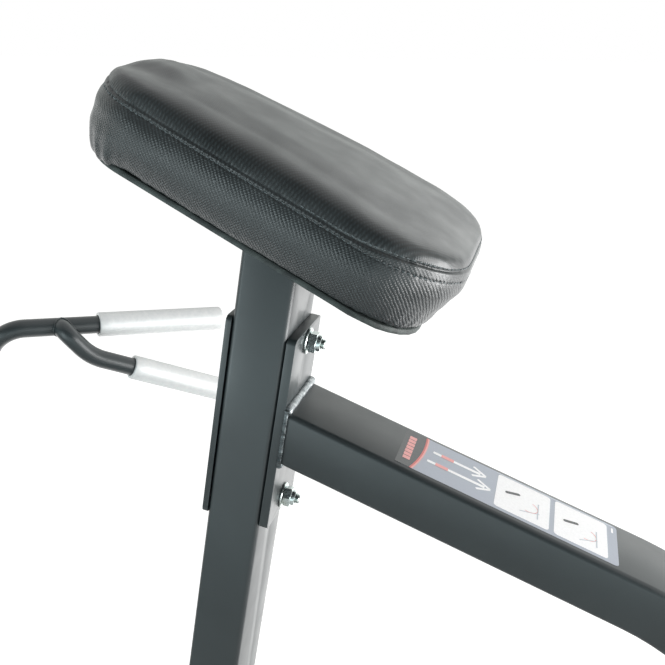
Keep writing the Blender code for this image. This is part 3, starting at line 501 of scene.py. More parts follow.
def settle(piece, body, slotName, nodes=(), smooth=38, ownMaterial=False):
    apply(piece)
    if smooth:
        bpy.ops.object.shade_smooth_by_angle(angle=math.radians(smooth))
    if not ownMaterial:
        piece.data.materials.clear()
        piece.data.materials.append(slots[slotName])
    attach(piece, body)
    if nodes:
        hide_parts(*nodes)


def turnProfile(name, profile, sides=64, ring=False):  # circles stepped along the profile, as on a lathe
    radius, height = profile[0]
    deselect()
    bpy.ops.mesh.primitive_circle_add(vertices=sides, radius=radius, location=(0, 0, 0))
    piece = bpy.context.object
    piece.name = name
    edit(piece)
    bpy.ops.transform.translate(value=(0, 0, height))
    if not ring:
        bpy.ops.mesh.edge_face_add()
    extrude = bpy.ops.mesh.extrude_edges_move if ring else bpy.ops.mesh.extrude_region_move
    for nextRadius, nextHeight in list(profile[1:]) + ([profile[0]] if ring else []):
        extrude(TRANSFORM_OT_translate={"value": (0, 0, nextHeight - height)})
        size = nextRadius / radius
        bpy.ops.transform.resize(value=(size, size, 1), center_override=(0, 0, nextHeight))
        radius, height = nextRadius, nextHeight
    closeUp()
    return piece


def rounded(radius, height, edge, steps=4):  # profile points round an outer corner, going up
    return [(radius - edge + edge * math.cos(a), height - edge + edge * math.sin(a))
            for a in [math.pi / 2 * i / steps for i in range(steps + 1)]]


def bendTube(name, corners, radii, tubeRadius, sides=40, steps=14):  # a straight bar bent as in a tube bender
    deselect()
    bpy.ops.mesh.primitive_circle_add(vertices=sides, radius=tubeRadius, fill_type="NGON")
    piece = placeAlong(bpy.context.object, corners[0], corners[1] - corners[0])
    piece.name = name
    edit(piece)
    place = corners[0]
    for before, corner, after, radius in zip(corners, corners[1:], corners[2:], radii):
        back, ahead = (before - corner).normalized(), (after - corner).normalized()
        half = back.angle(ahead) / 2
        start = corner + back * (radius / math.tan(half))
        bpy.ops.mesh.extrude_region_move(TRANSFORM_OT_translate={"value": start - place})
        centre = corner + (back + ahead).normalized() * (radius / math.sin(half))
        bpy.ops.mesh.spin(steps=steps, angle=2 * half - math.pi, center=centre, axis=(-back).cross(ahead))
        place = corner + ahead * (radius / math.tan(half))
    bpy.ops.mesh.extrude_region_move(TRANSFORM_OT_translate={"value": corners[-1] - place})
    closeUp()
    return piece


def copyForEdit(nodeName, name):  # a CAD piece's mesh on an object of its own
    piece = addObject(name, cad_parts[nodeName].data.copy())
    edit(piece)
    bpy.ops.mesh.remove_doubles(threshold=1e-5)
    return piece


def mergeFacets():
    bpy.ops.mesh.dissolve_limited(angle_limit=math.radians(0.6))


def refine(nodeName, body, slotName, bevel, segments=2):
    piece = copyForEdit(nodeName, nodeName + "_finished")
    mergeFacets()
    done()
    bevelEdges(piece, bevel, segments)
    settle(piece, body, slotName, [nodeName])


# Metal frame, caps and shoes

metalwork = (  # body, slot, bevel's width and steps, nodes
    ("frame", "powder_coat", 0.0006, 2, (
        "base_rail", "front_foot_tube", "rear_foot_tube", "foot_rest_tube", "pad_post", "main_beam",
        "stop_post")),
    ("frame", "powder_coat", 0.0014, 3, (
        "flange_plate", "backing_plate", "pad_mount_plate", "pivot_bracket_left", "pivot_bracket_right",
        "foot_plate_left", "foot_plate_right")),
    ("lever", "powder_coat", 0.0006, 2, (
        "lever_arm_left", "lever_arm_right", "lever_front_tube", "pivot_hub_left", "pivot_hub_right")),
    ("lever", "bronze", 0.0004, 2, ("pivot_bush_left", "pivot_bush_right")),
    ("frame", "plastic", 0.0007, 2, ("rest_cap_left", "rest_cap_right", "stop_cap")),
    ("frame", "rubber", 0.0022, 3, (
        "shoe_front_left", "shoe_front_right", "shoe_rear_left", "shoe_rear_right")),
)


def buildMetalwork():
    for body, slotName, bevel, segments, nodes in metalwork:
        for node in nodes:
            refine(node, body, slotName, bevel, segments)
    print("metalwork and rubber shoes ready")


# Fasteners

def hexForm(name, across, height, chamfer=0.0009, lowChamfer=True):
    corner = across / 2 / math.cos(math.pi / 6)
    face, outer = across * 0.48, corner + 0.0002
    deselect()
    bpy.ops.mesh.primitive_cylinder_add(vertices=6, radius=corner, depth=height * 3,
                                        location=(0, 0, height / 2))  # longer than the form that cuts it
    piece = bpy.context.object
    piece.name = name
    low = [(face, 0), (outer, chamfer)] if lowChamfer else [(outer, 0)]
    form = turnProfile("chamferForm", low + [(outer, height - chamfer), (face, height)], 96)
    combine(piece, form, "INTERSECT")
    return piece


def fasten(piece, node, origin, way, turn):  # turned about its axis, then set along it
    piece.rotation_euler.z = math.radians(turn)
    apply(piece)
    placeAlong(piece, origin, way, sideways if abs(way.y) < 0.5 else upwards)
    settle(piece, "frame", "zinc", [node], 30)


def nylocNut(node, origin, way, across, height, bore, turn):
    hexHigh = height * 0.66
    nut = hexForm(node + "_finished", across, hexHigh)
    collar = turnProfile("collar", [(across * 0.40, hexHigh - 0.0006), (across * 0.435, hexHigh - 0.0004),
                                    (across * 0.43, height - 0.0016), (across * 0.39, height - 0.0004),
                                    (across * 0.34, height)])
    combine(nut, collar, "UNION")
    hole = turnProfile("hole", [(bore * 1.30, -0.001), (bore * 1.03, 0.0008),
                                (bore * 1.03, height + 0.001)], 48)
    combine(nut, hole, "DIFFERENCE")
    fasten(nut, node, origin, way, turn)


def hexBolt(node, seat, way, across, headHigh, radius, length, threadLong, pitch, turn):
    depth = 0.65 * pitch
    bolt = hexForm(node + "_finished", across, headHigh, 0.0008, False)
    edit(bolt)
    bpy.ops.transform.resize(value=(1, 1, -1), center_override=(0, 0, 0))  # head below its seat
    bpy.ops.mesh.normals_make_consistent(inside=False)
    done()
    shank = [(radius, -headHigh / 2), (radius, length - threadLong)]
    height = length - threadLong
    while height < length - 1.4 * pitch:
        shank += [(radius - depth, height + 0.15 * pitch), (radius, height + 0.45 * pitch),
                  (radius, height + 0.6 * pitch), (radius - depth, height + 0.9 * pitch)]
        height += pitch
    shank += [(radius - depth, length - 0.9 * pitch), (radius - 0.1 * depth, length - 0.7 * pitch),
              (radius - 1.2 * depth, length)]
    combine(bolt, turnProfile("shank", shank, 40), "UNION")
    fasten(bolt, node, seat, way, turn)


def buildFasteners():
    joint = {"places": (("lower", 0.016, 14), ("upper", 0.1745, 26)),  # up along the post, turn of the nut
             "washer": 0.0086, "washerHole": 0.0053, "washerRadius": 0.012, "washerThick": 0.002,
             "nut": 0.0109, "nutAcross": 0.017, "nutHigh": 0.011, "bolt": 0.005, "end": 0.0260,
             "seat": -0.0556, "headAcross": 0.016, "headHigh": 0.0064, "thread": 0.018, "pitch": 0.0015}
    hole, outer, thick = joint["washerHole"], joint["washerRadius"], joint["washerThick"]
    for where, p, turn in joint["places"]:
        node = "flange_washer_" + where
        washer = turnProfile(node + "_finished",
                             [(hole, 0), (outer - 0.0003, 0), (outer, 0.0003), (outer, thick - 0.0007),
                              (outer - 0.0006, thick), (hole + 0.0003, thick), (hole, thick - 0.0003)],
                             ring=True)
        fasten(washer, node, onPost(joint["washer"], p), postNormal, 0)
        nylocNut("flange_nut_" + where, onPost(joint["nut"], p), postNormal, joint["nutAcross"],
                 joint["nutHigh"], joint["bolt"], turn)
        hexBolt("flange_bolt_" + where, onPost(joint["seat"], p), postNormal, joint["headAcross"],
                joint["headHigh"], joint["bolt"], joint["end"] - joint["seat"], joint["thread"],
                joint["pitch"], turn + 17)

    under = {"along": 0.062, "across": 0.032, "seat": -0.0066, "headAcross": 0.013, "headHigh": 0.0053,
             "radius": 0.004, "long": 0.0106, "thread": 0.006, "pitch": 0.00125}
    places = [(s * under["along"], y * under["across"]) for s in (-1, 1) for y in (-1, 1)]
    for number, (s, y) in enumerate(places, 1):
        hexBolt(f"pad_bolt_{number}", padPoint(s, y, under["seat"]), padUp, under["headAcross"],
                under["headHigh"], under["radius"], under["long"], under["thread"], under["pitch"], 11 * number)

    shaft = {"half": 0.1516, "radius": 0.010, "edge": 0.0015, "nut": 0.1333, "nutAcross": 0.030,
             "nutHigh": 0.014}
    half, radius, edge = shaft["half"], shaft["radius"], shaft["edge"]
    piece = turnProfile("pivot_shaft_finished", [(radius - edge, -half), (radius, edge - half),
                                                 (radius, half - edge), (radius - edge, half)])
    placeAlong(piece, pivot, sideways)
    settle(piece, "frame", "zinc", ["pivot_shaft"], 30)
    for side, hand in hands:
        nylocNut("pivot_nut_" + side, pivot + sideways * hand * shaft["nut"], sideways * hand,
                 shaft["nutAcross"], shaft["nutHigh"], radius, 10 * hand)
    print("fasteners ready")


# Weld beads

def layBead(name, points, sizes, body, slotName="powder_coat", nodes=(), pitch=0.0021):
    # overlapping puddles along a closed line, fused into one skin
    chance = random.Random(len(points) * 7 + 3)
    total = sum((b - a).length for a, b in zip(points, points[1:] + points[:1]))
    count = max(8, round(total / pitch))
    step = total / count
    deselect()
    bpy.ops.mesh.primitive_uv_sphere_add(segments=14, ring_count=9, radius=1)
    puddle = bpy.context.object
    copies = []
    travelled, target = 0.0, 0.0
    for a, b, size in zip(points, points[1:] + points[:1], sizes):
        run = (b - a).length
        while target <= travelled + run and len(copies) < count:
            place = a.lerp(b, (target - travelled) / run) if run else a
            copy = addObject("puddle", puddle.data.copy())
            wide = size * chance.uniform(0.92, 1.08)
            turn = (b - a).to_track_quat("Z", "Y").to_matrix().to_4x4()
            copy.matrix_world = Matrix.Translation(place) @ turn @ Matrix.Diagonal((wide, wide, step * 0.95, 1))
            copies.append(copy)
            target += step
        travelled += run
    bpy.data.objects.remove(puddle)
    bead = joinAll(name, copies)
    apply(bead)
    useModifier(bead, "REMESH", mode="VOXEL", voxel_size=max(0.00045, max(sizes) / 7))
    settle(bead, body, slotName, nodes, 60)


def tubeOutline(wide, deep, corner, steps=5, longest=0.004):  # points round a rounded rectangle
    points = []
    for turn, (sx, sy) in enumerate(((1, 1), (-1, 1), (-1, -1), (1, -1))):
        for i in range(steps + 1):
            angle = math.pi / 2 * (turn + i / steps)
            points.append((sx * (wide / 2 - corner) + corner * math.cos(angle),
                           sy * (deep / 2 - corner) + corner * math.sin(angle)))
    dense = []
    for (ax, ay), (bx, by) in zip(points, points[1:] + points[:1]):
        parts = max(1, round(math.hypot(bx - ax, by - ay) / longest))
        dense += [(ax + (bx - ax) * i / parts, ay + (by - ay) * i / parts) for i in range(parts)]
    return dense


def footLine(foot, way, grow, growSide, planeNormal, planePoint):  # round a tube's cut end, on the plane
    normal = way.cross(sideways)
    line = []
    for a, b in tubeOutline(layout["tubeWide"] + 2 * growSide, layout["tubeDeep"] + 2 * grow,
                            layout["tubeCorner"] + min(grow, growSide)):
        point = foot + sideways * a + normal * b
        line.append(point + way * ((planePoint - point).dot(planeNormal) / way.dot(planeNormal)))
    return line


def beamFoot():  # where the beam's centre line meets the base rail, and its direction there
    bend = beamPitch + math.radians(layout["beamBend"])
    start = beamRoot(layout["plateThick"] + layout["gap"]) + beamWay * layout["beamStraight"]
    way, up = axes(bend)
    end = start + (up - beamUp) * layout["beamRadius"]
    return end + way * ((end.z - layout["railTop"]) / -way.z), way


def buildWelds():
    weld = {"top": 0.0042, "side": 0.0024, "lift": 0.0010, "grow": 0.0011, "growSide": 0.0004,
            "foot": 0.0030, "footLift": 0.0011, "footGrow": 0.0008, "footGrowSide": -0.0012,
            "postEnd": (-0.025, -0.6)}
    q = layout["plateThick"] + 2 * layout["gap"] + weld["lift"]
    line = footLine(beamRoot(q), beamWay, weld["grow"], weld["growSide"], postNormal, onPost(q, 0))
    sizes = [weld["top"] if abs(p.y) < layout["tubeWide"] / 2 - 0.001 else weld["side"] for p in line]
    layBead("beam_weld_finished", line, sizes, "frame", "weld", ["beam_weld"])
    ground = upwards * (layout["railTop"] + weld["footLift"])
    for name, (place, way) in (("beam_foot_weld", beamFoot()),
                               ("post_foot_weld", (onPost(*weld["postEnd"]), postUp))):
        line = footLine(place, way, weld["footGrow"], weld["footGrowSide"], upwards, ground)
        layBead(name, line, [weld["foot"]] * len(line), "frame")
    print("weld beads ready")


# Handles

def markAround(piece, radius):  # flat coordinates round a turned piece, in metres, while its axis is Z
    shape = bmesh.new()
    shape.from_mesh(piece.data)
    around = shape.loops.layers.uv.new("around")
    for face in shape.faces:
        centre = face.calc_center_median()
        middle = math.atan2(centre.y, centre.x)
        for loop in face.loops:
            angle = math.atan2(loop.vert.co.y, loop.vert.co.x)
            angle += 2 * math.pi * round((middle - angle) / (2 * math.pi))
            loop[around].uv = (angle * radius, loop.vert.co.z)
    shape.to_mesh(piece.data)
    shape.free()


def mirror(point, hand):
    return Vector((point[0], point[1] * hand, point[2]))


def atX(point, way, x):  # the point of a line that has the given X
    return point + way * ((x - point.x) / way.x)


def copeLine(piece, origin, way, along, radius, lift):  # the rim of the hollow that a bar cut into a tube's end
    def offBar(point):
        off = point - origin
        return off - along * off.dot(along)

    shape = bmesh.new()
    shape.from_mesh(piece.data)
    hollow = {face.index for face in shape.faces
              if all(abs(offBar(v.co).length - radius) < 4e-5 for v in face.verts)}
    rim = {v for edge in shape.edges
           if len({face.index in hollow for face in edge.link_faces}) == 2 for v in edge.verts}
    one, two = along, way.cross(along)
    points = []
    for vertex in rim:
        off = vertex.co - origin
        outward = (offBar(vertex.co).normalized() + (off - way * off.dot(way)).normalized()).normalized()
        points.append((math.atan2(off.dot(two), off.dot(one)), vertex.co + outward * lift))
    shape.free()
    return [point for _, point in sorted(points, key=lambda entry: entry[0])]


def buildHandles():
    handle = {
        "bar": 0.0111, "footY": 0.190, "rise": 0.050, "tubeSide": 0.050,
        "outerStart": (-0.3085, 0.2470, 0.0772), "outerWay": (0.7321, 0.6740, -0.0990),
        "innerStart": (-0.2693, 0.2532, 0.0219), "innerWay": (0.6694, 0.6163, -0.4147),
        "topX": -0.394, "kneeX": -0.3061, "branchBack": 0.046, "standOff": 0.020,
        "bends": (0.080, 0.038), "branchBends": (0.016, 0.070),
        "grip": 0.0153, "gripLong": 0.164, "gripEnd": 0.004, "gripPlay": 0.0008, "gripEdge": 0.0035,
        "branchWeld": 0.0012, "branchWeldPitch": 0.0017, "footWeld": 0.0026,
    }
    datum = Vector(layout["postFoot"])
    outerWay, innerWay = Vector(handle["outerWay"]).normalized(), Vector(handle["innerWay"]).normalized()
    outer, inner = datum + Vector(handle["outerStart"]), datum + Vector(handle["innerStart"])
    reach = handle["gripLong"] - handle["gripEnd"] - layout["gap"]
    foot = leverFront + leverUp * (handle["tubeSide"] / 2 + layout["gap"]) + sideways * handle["footY"]
    barLine = [foot, foot + leverUp * handle["rise"], atX(outer, outerWay, datum.x + handle["topX"]),
               outer + outerWay * reach]
    branch = outer - outerWay * handle["branchBack"]
    branchOut = outerWay.cross(upwards).normalized()
    branchLine = [branch, branch + branchOut * handle["standOff"],
                  atX(inner, innerWay, datum.x + handle["kneeX"]), inner + innerWay * reach]
    long, radius, bore = handle["gripLong"], handle["grip"], handle["bar"] + handle["gripPlay"]
    edge = handle["gripEdge"]
    sleeve = [(bore, long - handle["gripEnd"]), (bore, 0.0), (radius - 0.0010, 0.0),
              (radius - 0.0003, 0.0004), (radius, 0.0012)]
    sleeve += [(radius, long * i / 12) for i in range(1, 12)]
    sleeve += [(radius - edge * (1 - math.cos(a)), long - edge * (1 - math.sin(a)))
               for a in [math.radians(d) for d in (0, 20, 40, 60, 80, 90)]]
    for side, hand in hands:
        bar = bendTube(f"handle_bar_{side}_finished", [mirror(p, hand) for p in barLine], handle["bends"],
                       handle["bar"])
        settle(bar, "lever", "powder_coat", ["handle_bar_" + side])
        line = [mirror(p, hand) for p in branchLine]
        fork = bendTube(f"handle_branch_{side}_finished", line, handle["branchBends"], handle["bar"])
        along, cut = mirror(outerWay, hand), handle["bar"] + layout["gap"]
        deselect()
        bpy.ops.mesh.primitive_cylinder_add(vertices=128, radius=cut, depth=0.09)
        combine(fork, placeAlong(bpy.context.object, line[0], along), "DIFFERENCE")
        cope = copeLine(fork, line[0], mirror(branchOut, hand), along, cut, 0.0004)
        settle(fork, "lever", "powder_coat", ["handle_branch_" + side])
        layBead("handle_branch_weld_" + side, cope, [handle["branchWeld"]] * len(cope), "lever",
                pitch=handle["branchWeldPitch"])
        ring = [mirror(foot, hand) + leverUp * 0.0006 + (leverWay * math.cos(a) + sideways * math.sin(a))
                * (handle["bar"] + 0.0012) for a in [math.pi * i / 24 for i in range(48)]]
        layBead("handle_foot_weld_" + side, ring, [handle["footWeld"]] * len(ring), "lever")
        for which, start, way in (("outer", outer, outerWay), ("inner", inner, innerWay)):
            grip = turnProfile(f"{which}_grip_{side}_finished", sleeve, 96)
            markAround(grip, radius)
            placeAlong(grip, mirror(start, hand), mirror(way, hand))
            settle(grip, "lever", "aluminium", [f"{which}_grip_{side}"], 30)
    print("handles and grips ready")


# Horns, their caps, bumper

def buildHorns():
    horn = {"seat": 0.2503, "radius": 0.024, "wall": 0.003, "long": 0.200, "collar": 0.045,
            "collarThick": 0.008, "collarEdge": 0.0025, "capHigh": 0.004, "capEdge": 0.0022, "plug": 0.014}
    radius, long, thick, edge = horn["radius"], horn["long"], horn["collarThick"], 0.0012
    inner = radius - horn["wall"]
    tubeLine = [(inner, 0.0), (horn["collar"] - edge, 0.0), (horn["collar"], edge),
                *rounded(horn["collar"], thick, horn["collarEdge"]), (radius + 0.004, thick),
                (radius + 0.0012, thick + 0.0010), (radius, thick + 0.0035),
                *[(radius, long * i / 10) for i in range(1, 10)], (radius, long - 0.0006),
                (radius - 0.0006, long), (inner, long)]
    high, plug, bore = horn["capHigh"], horn["plug"], inner - layout["gap"]
    capLine = [(inner - 0.0015, -plug), (bore, 0.0015 - plug), (bore, 0.0), (radius, 0.0),
               *rounded(radius, high, horn["capEdge"]), (radius * 0.62, high), (radius * 0.58, high - 0.0008)]
    for side, hand in hands:
        way = sideways * hand
        seat = leverFront + way * horn["seat"]
        tube = turnProfile(f"weight_horn_{side}_finished", tubeLine, 96, True)
        settle(placeAlong(tube, seat, way), "lever", "chrome", ["weight_horn_" + side], 30)
        cap = turnProfile(f"horn_cap_{side}_finished", capLine, 72)
        settle(placeAlong(cap, seat + way * (long + layout["gap"]), way), "lever", "plastic",
               ["horn_cap_" + side], 30)

    stop = {"radius": 0.020, "high": 0.024, "edge": 0.004, "tubeHalf": 0.025}
    radius = stop["radius"]
    bumper = turnProfile("stop_bumper_finished", [
        (radius - 0.001, 0.0), (radius, 0.001), (radius, 0.006), (radius - 0.0015, 0.009),
        (radius - 0.002, 0.012), (radius - 0.0015, 0.015), (radius, 0.018),
        *rounded(radius, stop["high"], stop["edge"])])
    placeAlong(bumper, leverFront - leverUp * (stop["tubeHalf"] + layout["gap"] + stop["high"]), leverUp)
    settle(bumper, "frame", "rubber", ["stop_bumper"], 40)
    print("horns, caps and bumper ready")


# Foot mats with raised ribs

def buildMats():
    mat = {"long": 0.210, "halfThick": 0.0015, "margin": 0.012, "ribs": 15, "ribWide": 0.0075,
           "ribHigh": 0.0012}
    room = mat["long"] - 2 * mat["margin"]
    for side, _ in hands:
        node = "foot_mat_" + side
        low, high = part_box(node)
        way = Vector((high.x - low.x, 0, low.z - high.z)).normalized()
        up = Vector((-way.z, 0, way.x))
        refine(node, "frame", "rubber", 0.0006)
        ribs = []
        for i in range(mat["ribs"]):
            deselect()
            bpy.ops.mesh.primitive_cube_add(size=1)
            rib = bpy.context.object
            rib.scale = (mat["ribWide"], high.y - low.y - 2 * mat["margin"], mat["ribHigh"] * 2)
            bpy.ops.object.transform_apply()
            useModifier(rib, "BEVEL", width=mat["ribHigh"] * 0.8, segments=2)
            place = (low + high) / 2 + way * (room * (i / (mat["ribs"] - 1) - 0.5)) + up * mat["halfThick"]
            ribs.append(placeAlong(rib, place, up, way))
        settle(joinAll("foot_mat_ribs_" + side, ribs), "frame", "rubber")
    print("foot mats ready")


# Cushion

cushion = {
    "base": 0.0053, "seamHigh": 0.0522, "front": 0.180, "rear": 0.156, "frontHalf": 0.0856,
    "rearHalf": 0.1278, "frontCorner": 0.056, "rearCorner": 0.074, "leastCorner": 0.012, "seamInset": 0.0048,
    "voxel": 0.005, "frames": 20, "holdBase": 0.006, "holdSeam": 0.002, "holdWide": 0.005,
    "cap": 0.004, "evening": 40,  # largest move of the fill, rounds of smoothing
    "fair": 14, "fairFrom": 0.004, "crownLift": 1.10, "bulge": 0.0018, "frontBulge": 0.0024,
    "frontSeamIn": 0.0024, "seamReach": 0.011, "frontDrop": 0.0062, "dropHigh": 0.010,
    "flatten": 2.1, "crownFrom": 0.004, "crownTo": 0.022, "tipLift": 0.0008, "rimHigh": 0.016,
    "stripRear": 0.0085, "stripFront": 0.0062, "stripSide": 0.0034,
    "grooveDeep": 0.0016, "grooveWide": 0.0010, "grooveLeast": 0.10, "grooveFront": 0.6, "lapLift": 0.0004,
    "lapEdge": 0.001, "stitchDeep": 0.0008, "stitchWide": 0.0008, "stitchStep": 0.0048,
    "stitchLong": 0.0032, "stitchRadius": 0.00052, "lapStitch": 0.0016,
    "gatherDeep": 0.0004, "gatherStep": 0.013, "gatherHigh": 0.016, "creaseReach": 0.03,
}
fill = {  # the cover as a cloth that foam presses on
    "quality": 6, "mass": 0.4, "tension_stiffness": 20, "compression_stiffness": 20, "shear_stiffness": 12,
    "bending_stiffness": 10, "tension_damping": 25, "compression_damping": 25, "shear_damping": 25,
    "air_damping": 3, "use_pressure": True, "uniform_pressure_force": 4.0, "vertex_group_mass": "held",
}
zones = {  # where an effect begins and where it is full: along the pad, or from its middle line
    "fairFront": (0.07, 0.16), "dropFront": (0.11, 0.16), "tip": (0.11, 0.14), "crownSide": (0.012, 0.045),
    "endFront": (0.10, 0.155), "endRear": (0.10, 0.14), "stripFront": (0.150, 0.174),
    "stripRear": (0.05, 0.125), "grooveFront": (0.13, 0.16), "grooveRear": (0.04, 0.12),
    "gatherFront": (0.11, 0.15), "gatherRear": (0.07, 0.12), "inner": (0.020, 0.030),
}
trims = {  # small corrections in mm, by the place along the pad or by the height
    "dome": ((-172, 14), (-165, 19), (-160, 21.5), (-150, 24.5), (-140, 26), (-110, 27.3), (0, 27.8),
             (90, 27), (120, 25.5), (135, 22), (145, 18), (152, 12)),
    "crown": ((-168, -4.0), (-150, -5.5), (-135, -5.6), (-117, -5.0), (-95, -4.1), (-20, -3.5), (15, -3.5),
              (50, -4.5), (80, -5.6), (105, -5.5), (120, -5.0), (135, -3.4), (150, -1.5)),
    "front": ((0, 0), (8, -0.8), (33, -5.0), (50, 0), (57, 0.6), (66, 0)),
    "rear": ((0, -3.0), (10, -4.5), (20, -6.5), (32, -5.5), (42, -2.0), (50, 0)),
    "hem": ((-150, 1.2), (-142, 2.8), (-136, 2.6), (-131, 1.1), (-125, 0.9), (-112, 1.4), (-98, 1.9),
            (-30, 2.1), (30, 1.2), (70, 0.4), (95, 0.3), (108, 1.2), (130, 4.6)),
    "board": ((-130, 2.3), (-100, 1.7), (-30, 1.9), (30, 0.8), (70, 0), (95, 0.8), (115, 2.4), (140, 3.6)),
}


def padPoint(s, y, h):
    return onPost(-layout["tubeDeep"] / 2, layout["padMiddle"]) + padWay * s + sideways * y + padUp * h


def padPlace(point):  # s to the rear, y to the left, h above the pad's under side
    d = point - padPoint(0, 0, 0)
    return d.dot(padWay), d.y, d.dot(padUp)


def padOutline(inset, steps=10):  # tapered outline with rounded corners, in (s, y)
    slope = math.atan((cushion["rearHalf"] - cushion["frontHalf"]) / (cushion["front"] + cushion["rear"]))
    corners = []
    for s, half, corner in ((cushion["rear"], cushion["rearHalf"], cushion["rearCorner"]),
                            (-cushion["front"], cushion["frontHalf"], cushion["frontCorner"])):
        radius = max(corner - inset, cushion["leastCorner"])
        centreS = s - math.copysign(inset + radius, s)
        centreY = half + (centreS - s) * math.tan(slope) - (inset + radius) / math.cos(slope)
        corners.append((centreS, centreY, radius))
    rear, front = corners
    side = math.pi / 2 + slope
    points = []
    for (s, y, radius), hand, first, last in ((rear, 1, 0, side), (front, 1, side, math.pi),
                                              (front, -1, math.pi, 2 * math.pi - side),
                                              (rear, -1, 2 * math.pi - side, 2 * math.pi)):
        for i in range(steps + 1):
            angle = first + (last - first) * i / steps
            points.append(Vector((s + radius * math.cos(angle), y * hand + radius * math.sin(angle), 0)))
    return points


def walkOutline(inset, step=0.001):  # evenly spaced places round the pad: point, direction, distance
    points = padOutline(inset)
    places, travelled = [], 0.0
    for a, b in zip(points, points[1:] + points[:1]):
        run = (b - a).length
        if run < 1e-7:
            continue
        parts = max(1, round(run / step))
        for i in range(parts):
            places.append((a.lerp(b, i / parts), (b - a).normalized(), travelled + run * i / parts))
        travelled += run
    finder = KDTree(len(places))
    for i, (point, _, _) in enumerate(places):
        finder.insert(point, i)
    finder.balance()
    return places, travelled, finder


def smoothStep(value, low, high):
    share = min(1.0, max(0.0, (value - low) / (high - low)))
    return share * share * (3 - 2 * share)


def zone(name, value):
    return smoothStep(value, *zones[name])


def trim(name, place):  # smooth between the table's places
    stops = [(a / 1000, b / 1000) for a, b in trims[name]]
    if place <= stops[0][0]:
        return stops[0][1]
    for (a, before), (b, after) in zip(stops, stops[1:]):
        if place <= b:
            return before + (after - before) * smoothStep(place, a, b)
    return stops[-1][1]


def stripWide(s):  # the lap under the top panel's seam is widest at the two ends
    side = cushion["stripSide"]
    return (side + (cushion["stripRear"] - side) * zone("stripRear", s)
            + (cushion["stripFront"] - side) * zone("stripFront", -s))


def simulateFill(piece):  # foam pushes the cover out between its held lines
    start = [v.co.copy() for v in piece.data.vertices]
    normals = [v.normal.copy() for v in piece.data.vertices]
    held = piece.vertex_groups.new(name="held")
    for vertex in piece.data.vertices:
        h = padPlace(vertex.co)[2]
        if h < cushion["base"] + cushion["holdBase"]:
            held.add([vertex.index], 1.0, "REPLACE")
        elif abs(h - cushion["seamHigh"] - cushion["holdSeam"]) < cushion["holdWide"]:
            held.add([vertex.index], 0.9, "REPLACE")
    cloth = piece.modifiers.new("fill", "CLOTH")
    cloth.point_cache.frame_start = 1
    cloth.point_cache.frame_end = cushion["frames"]
    for name, value in fill.items():
        setattr(cloth.settings, name, value)
    cloth.settings.effector_weights.gravity = 0
    for number in range(1, cushion["frames"] + 1):
        bpy.context.scene.frame_set(number)
    pick(piece)
    bpy.ops.object.modifier_apply(modifier=cloth.name)
    bpy.context.scene.frame_set(1)
    piece.vertex_groups.clear()

    near = [[] for _ in start]  # firm foam shows no waves, so the moves are evened out
    for edge in piece.data.edges:
        a, b = edge.vertices
        near[a].append(b)
        near[b].append(a)
    moves = [(v.co - before).dot(normal) for v, before, normal in zip(piece.data.vertices, start, normals)]
    for _ in range(cushion["evening"]):
        moves = [0.4 * move + 0.6 * sum(moves[i] for i in around) / len(around)
                 for move, around in zip(moves, near)]
    print("cushion filled, largest move before the cap:", round(max(moves) * 1000, 1), "mm")
    for vertex, before, normal, move in zip(piece.data.vertices, start, normals, moves):
        vertex.co = before + normal * max(-cushion["cap"], min(cushion["cap"], move))


def fairShape(piece):  # smooths the crown, and gives the band its fullness
    seamHigh, base = cushion["seamHigh"], cushion["base"]
    edit(piece, "DESELECT")
    chooseParts(piece, "verts", lambda v: padPlace(v.co)[2] > seamHigh + cushion["fairFrom"])
    bpy.ops.mesh.vertices_smooth(factor=0.5, repeat=cushion["fair"])
    done()
    normals = [v.normal.copy() for v in piece.data.vertices]
    for vertex, normal in zip(piece.data.vertices, normals):
        s, y, h = padPlace(vertex.co)
        flat = normal - padUp * normal.dot(padUp)
        front = zone("fairFront", -s)
        high = h - seamHigh
        if high > 0:
            vertex.co += padUp * high * (cushion["crownLift"] - 1)
        seam = math.exp(-(high / cushion["seamReach"]) ** 2)
        belly = math.sin(math.pi * min(1.0, max(0.0, h / seamHigh)))
        vertex.co += flat * (belly * (cushion["bulge"] + front * cushion["frontBulge"])
                             - seam * front * cushion["frontSeamIn"])
        low = 1 - smoothStep(h, base, base + cushion["dropHigh"])
        vertex.co -= padUp * low * zone("dropFront", -s) * cushion["frontDrop"]


def trimShape(piece, around):  # brings the filled cover to the outline seen in the photograph
    seamHigh, base = cushion["seamHigh"], cushion["base"]
    normals = [v.normal.copy() for v in piece.data.vertices]
    for vertex, normal in zip(piece.data.vertices, normals):
        s, y, h = padPlace(vertex.co)
        flat = normal - padUp * normal.dot(padUp)
        if flat.length > 0.3:
            flat.normalize()
        dome = trim("dome", s)
        share = min(1.0, max(0.0, (h - seamHigh) / dome))  # a flatter top, fuller edges
        vertex.co += padUp * dome * (1 - (1 - share) ** cushion["flatten"] - share)
        high = smoothStep(h, seamHigh + cushion["crownFrom"], seamHigh + cushion["crownTo"])
        tip, side, crown = zone("tip", -s), zone("crownSide", abs(y)), trim("crown", s)
        crown = crown * (1 - tip) + tip * (crown * side + cushion["tipLift"] * (1 - side))
        vertex.co += padUp * high * crown
        vertex.co += flat * (trim("front", h) * zone("endFront", -s) + trim("rear", h) * zone("endRear", s))
        rim = 1 - smoothStep(h, base, base + cushion["rimHigh"])
        rim *= 1 - zone("inner", around(s, y)[1])
        vertex.co -= padUp * rim * trim("hem", s)


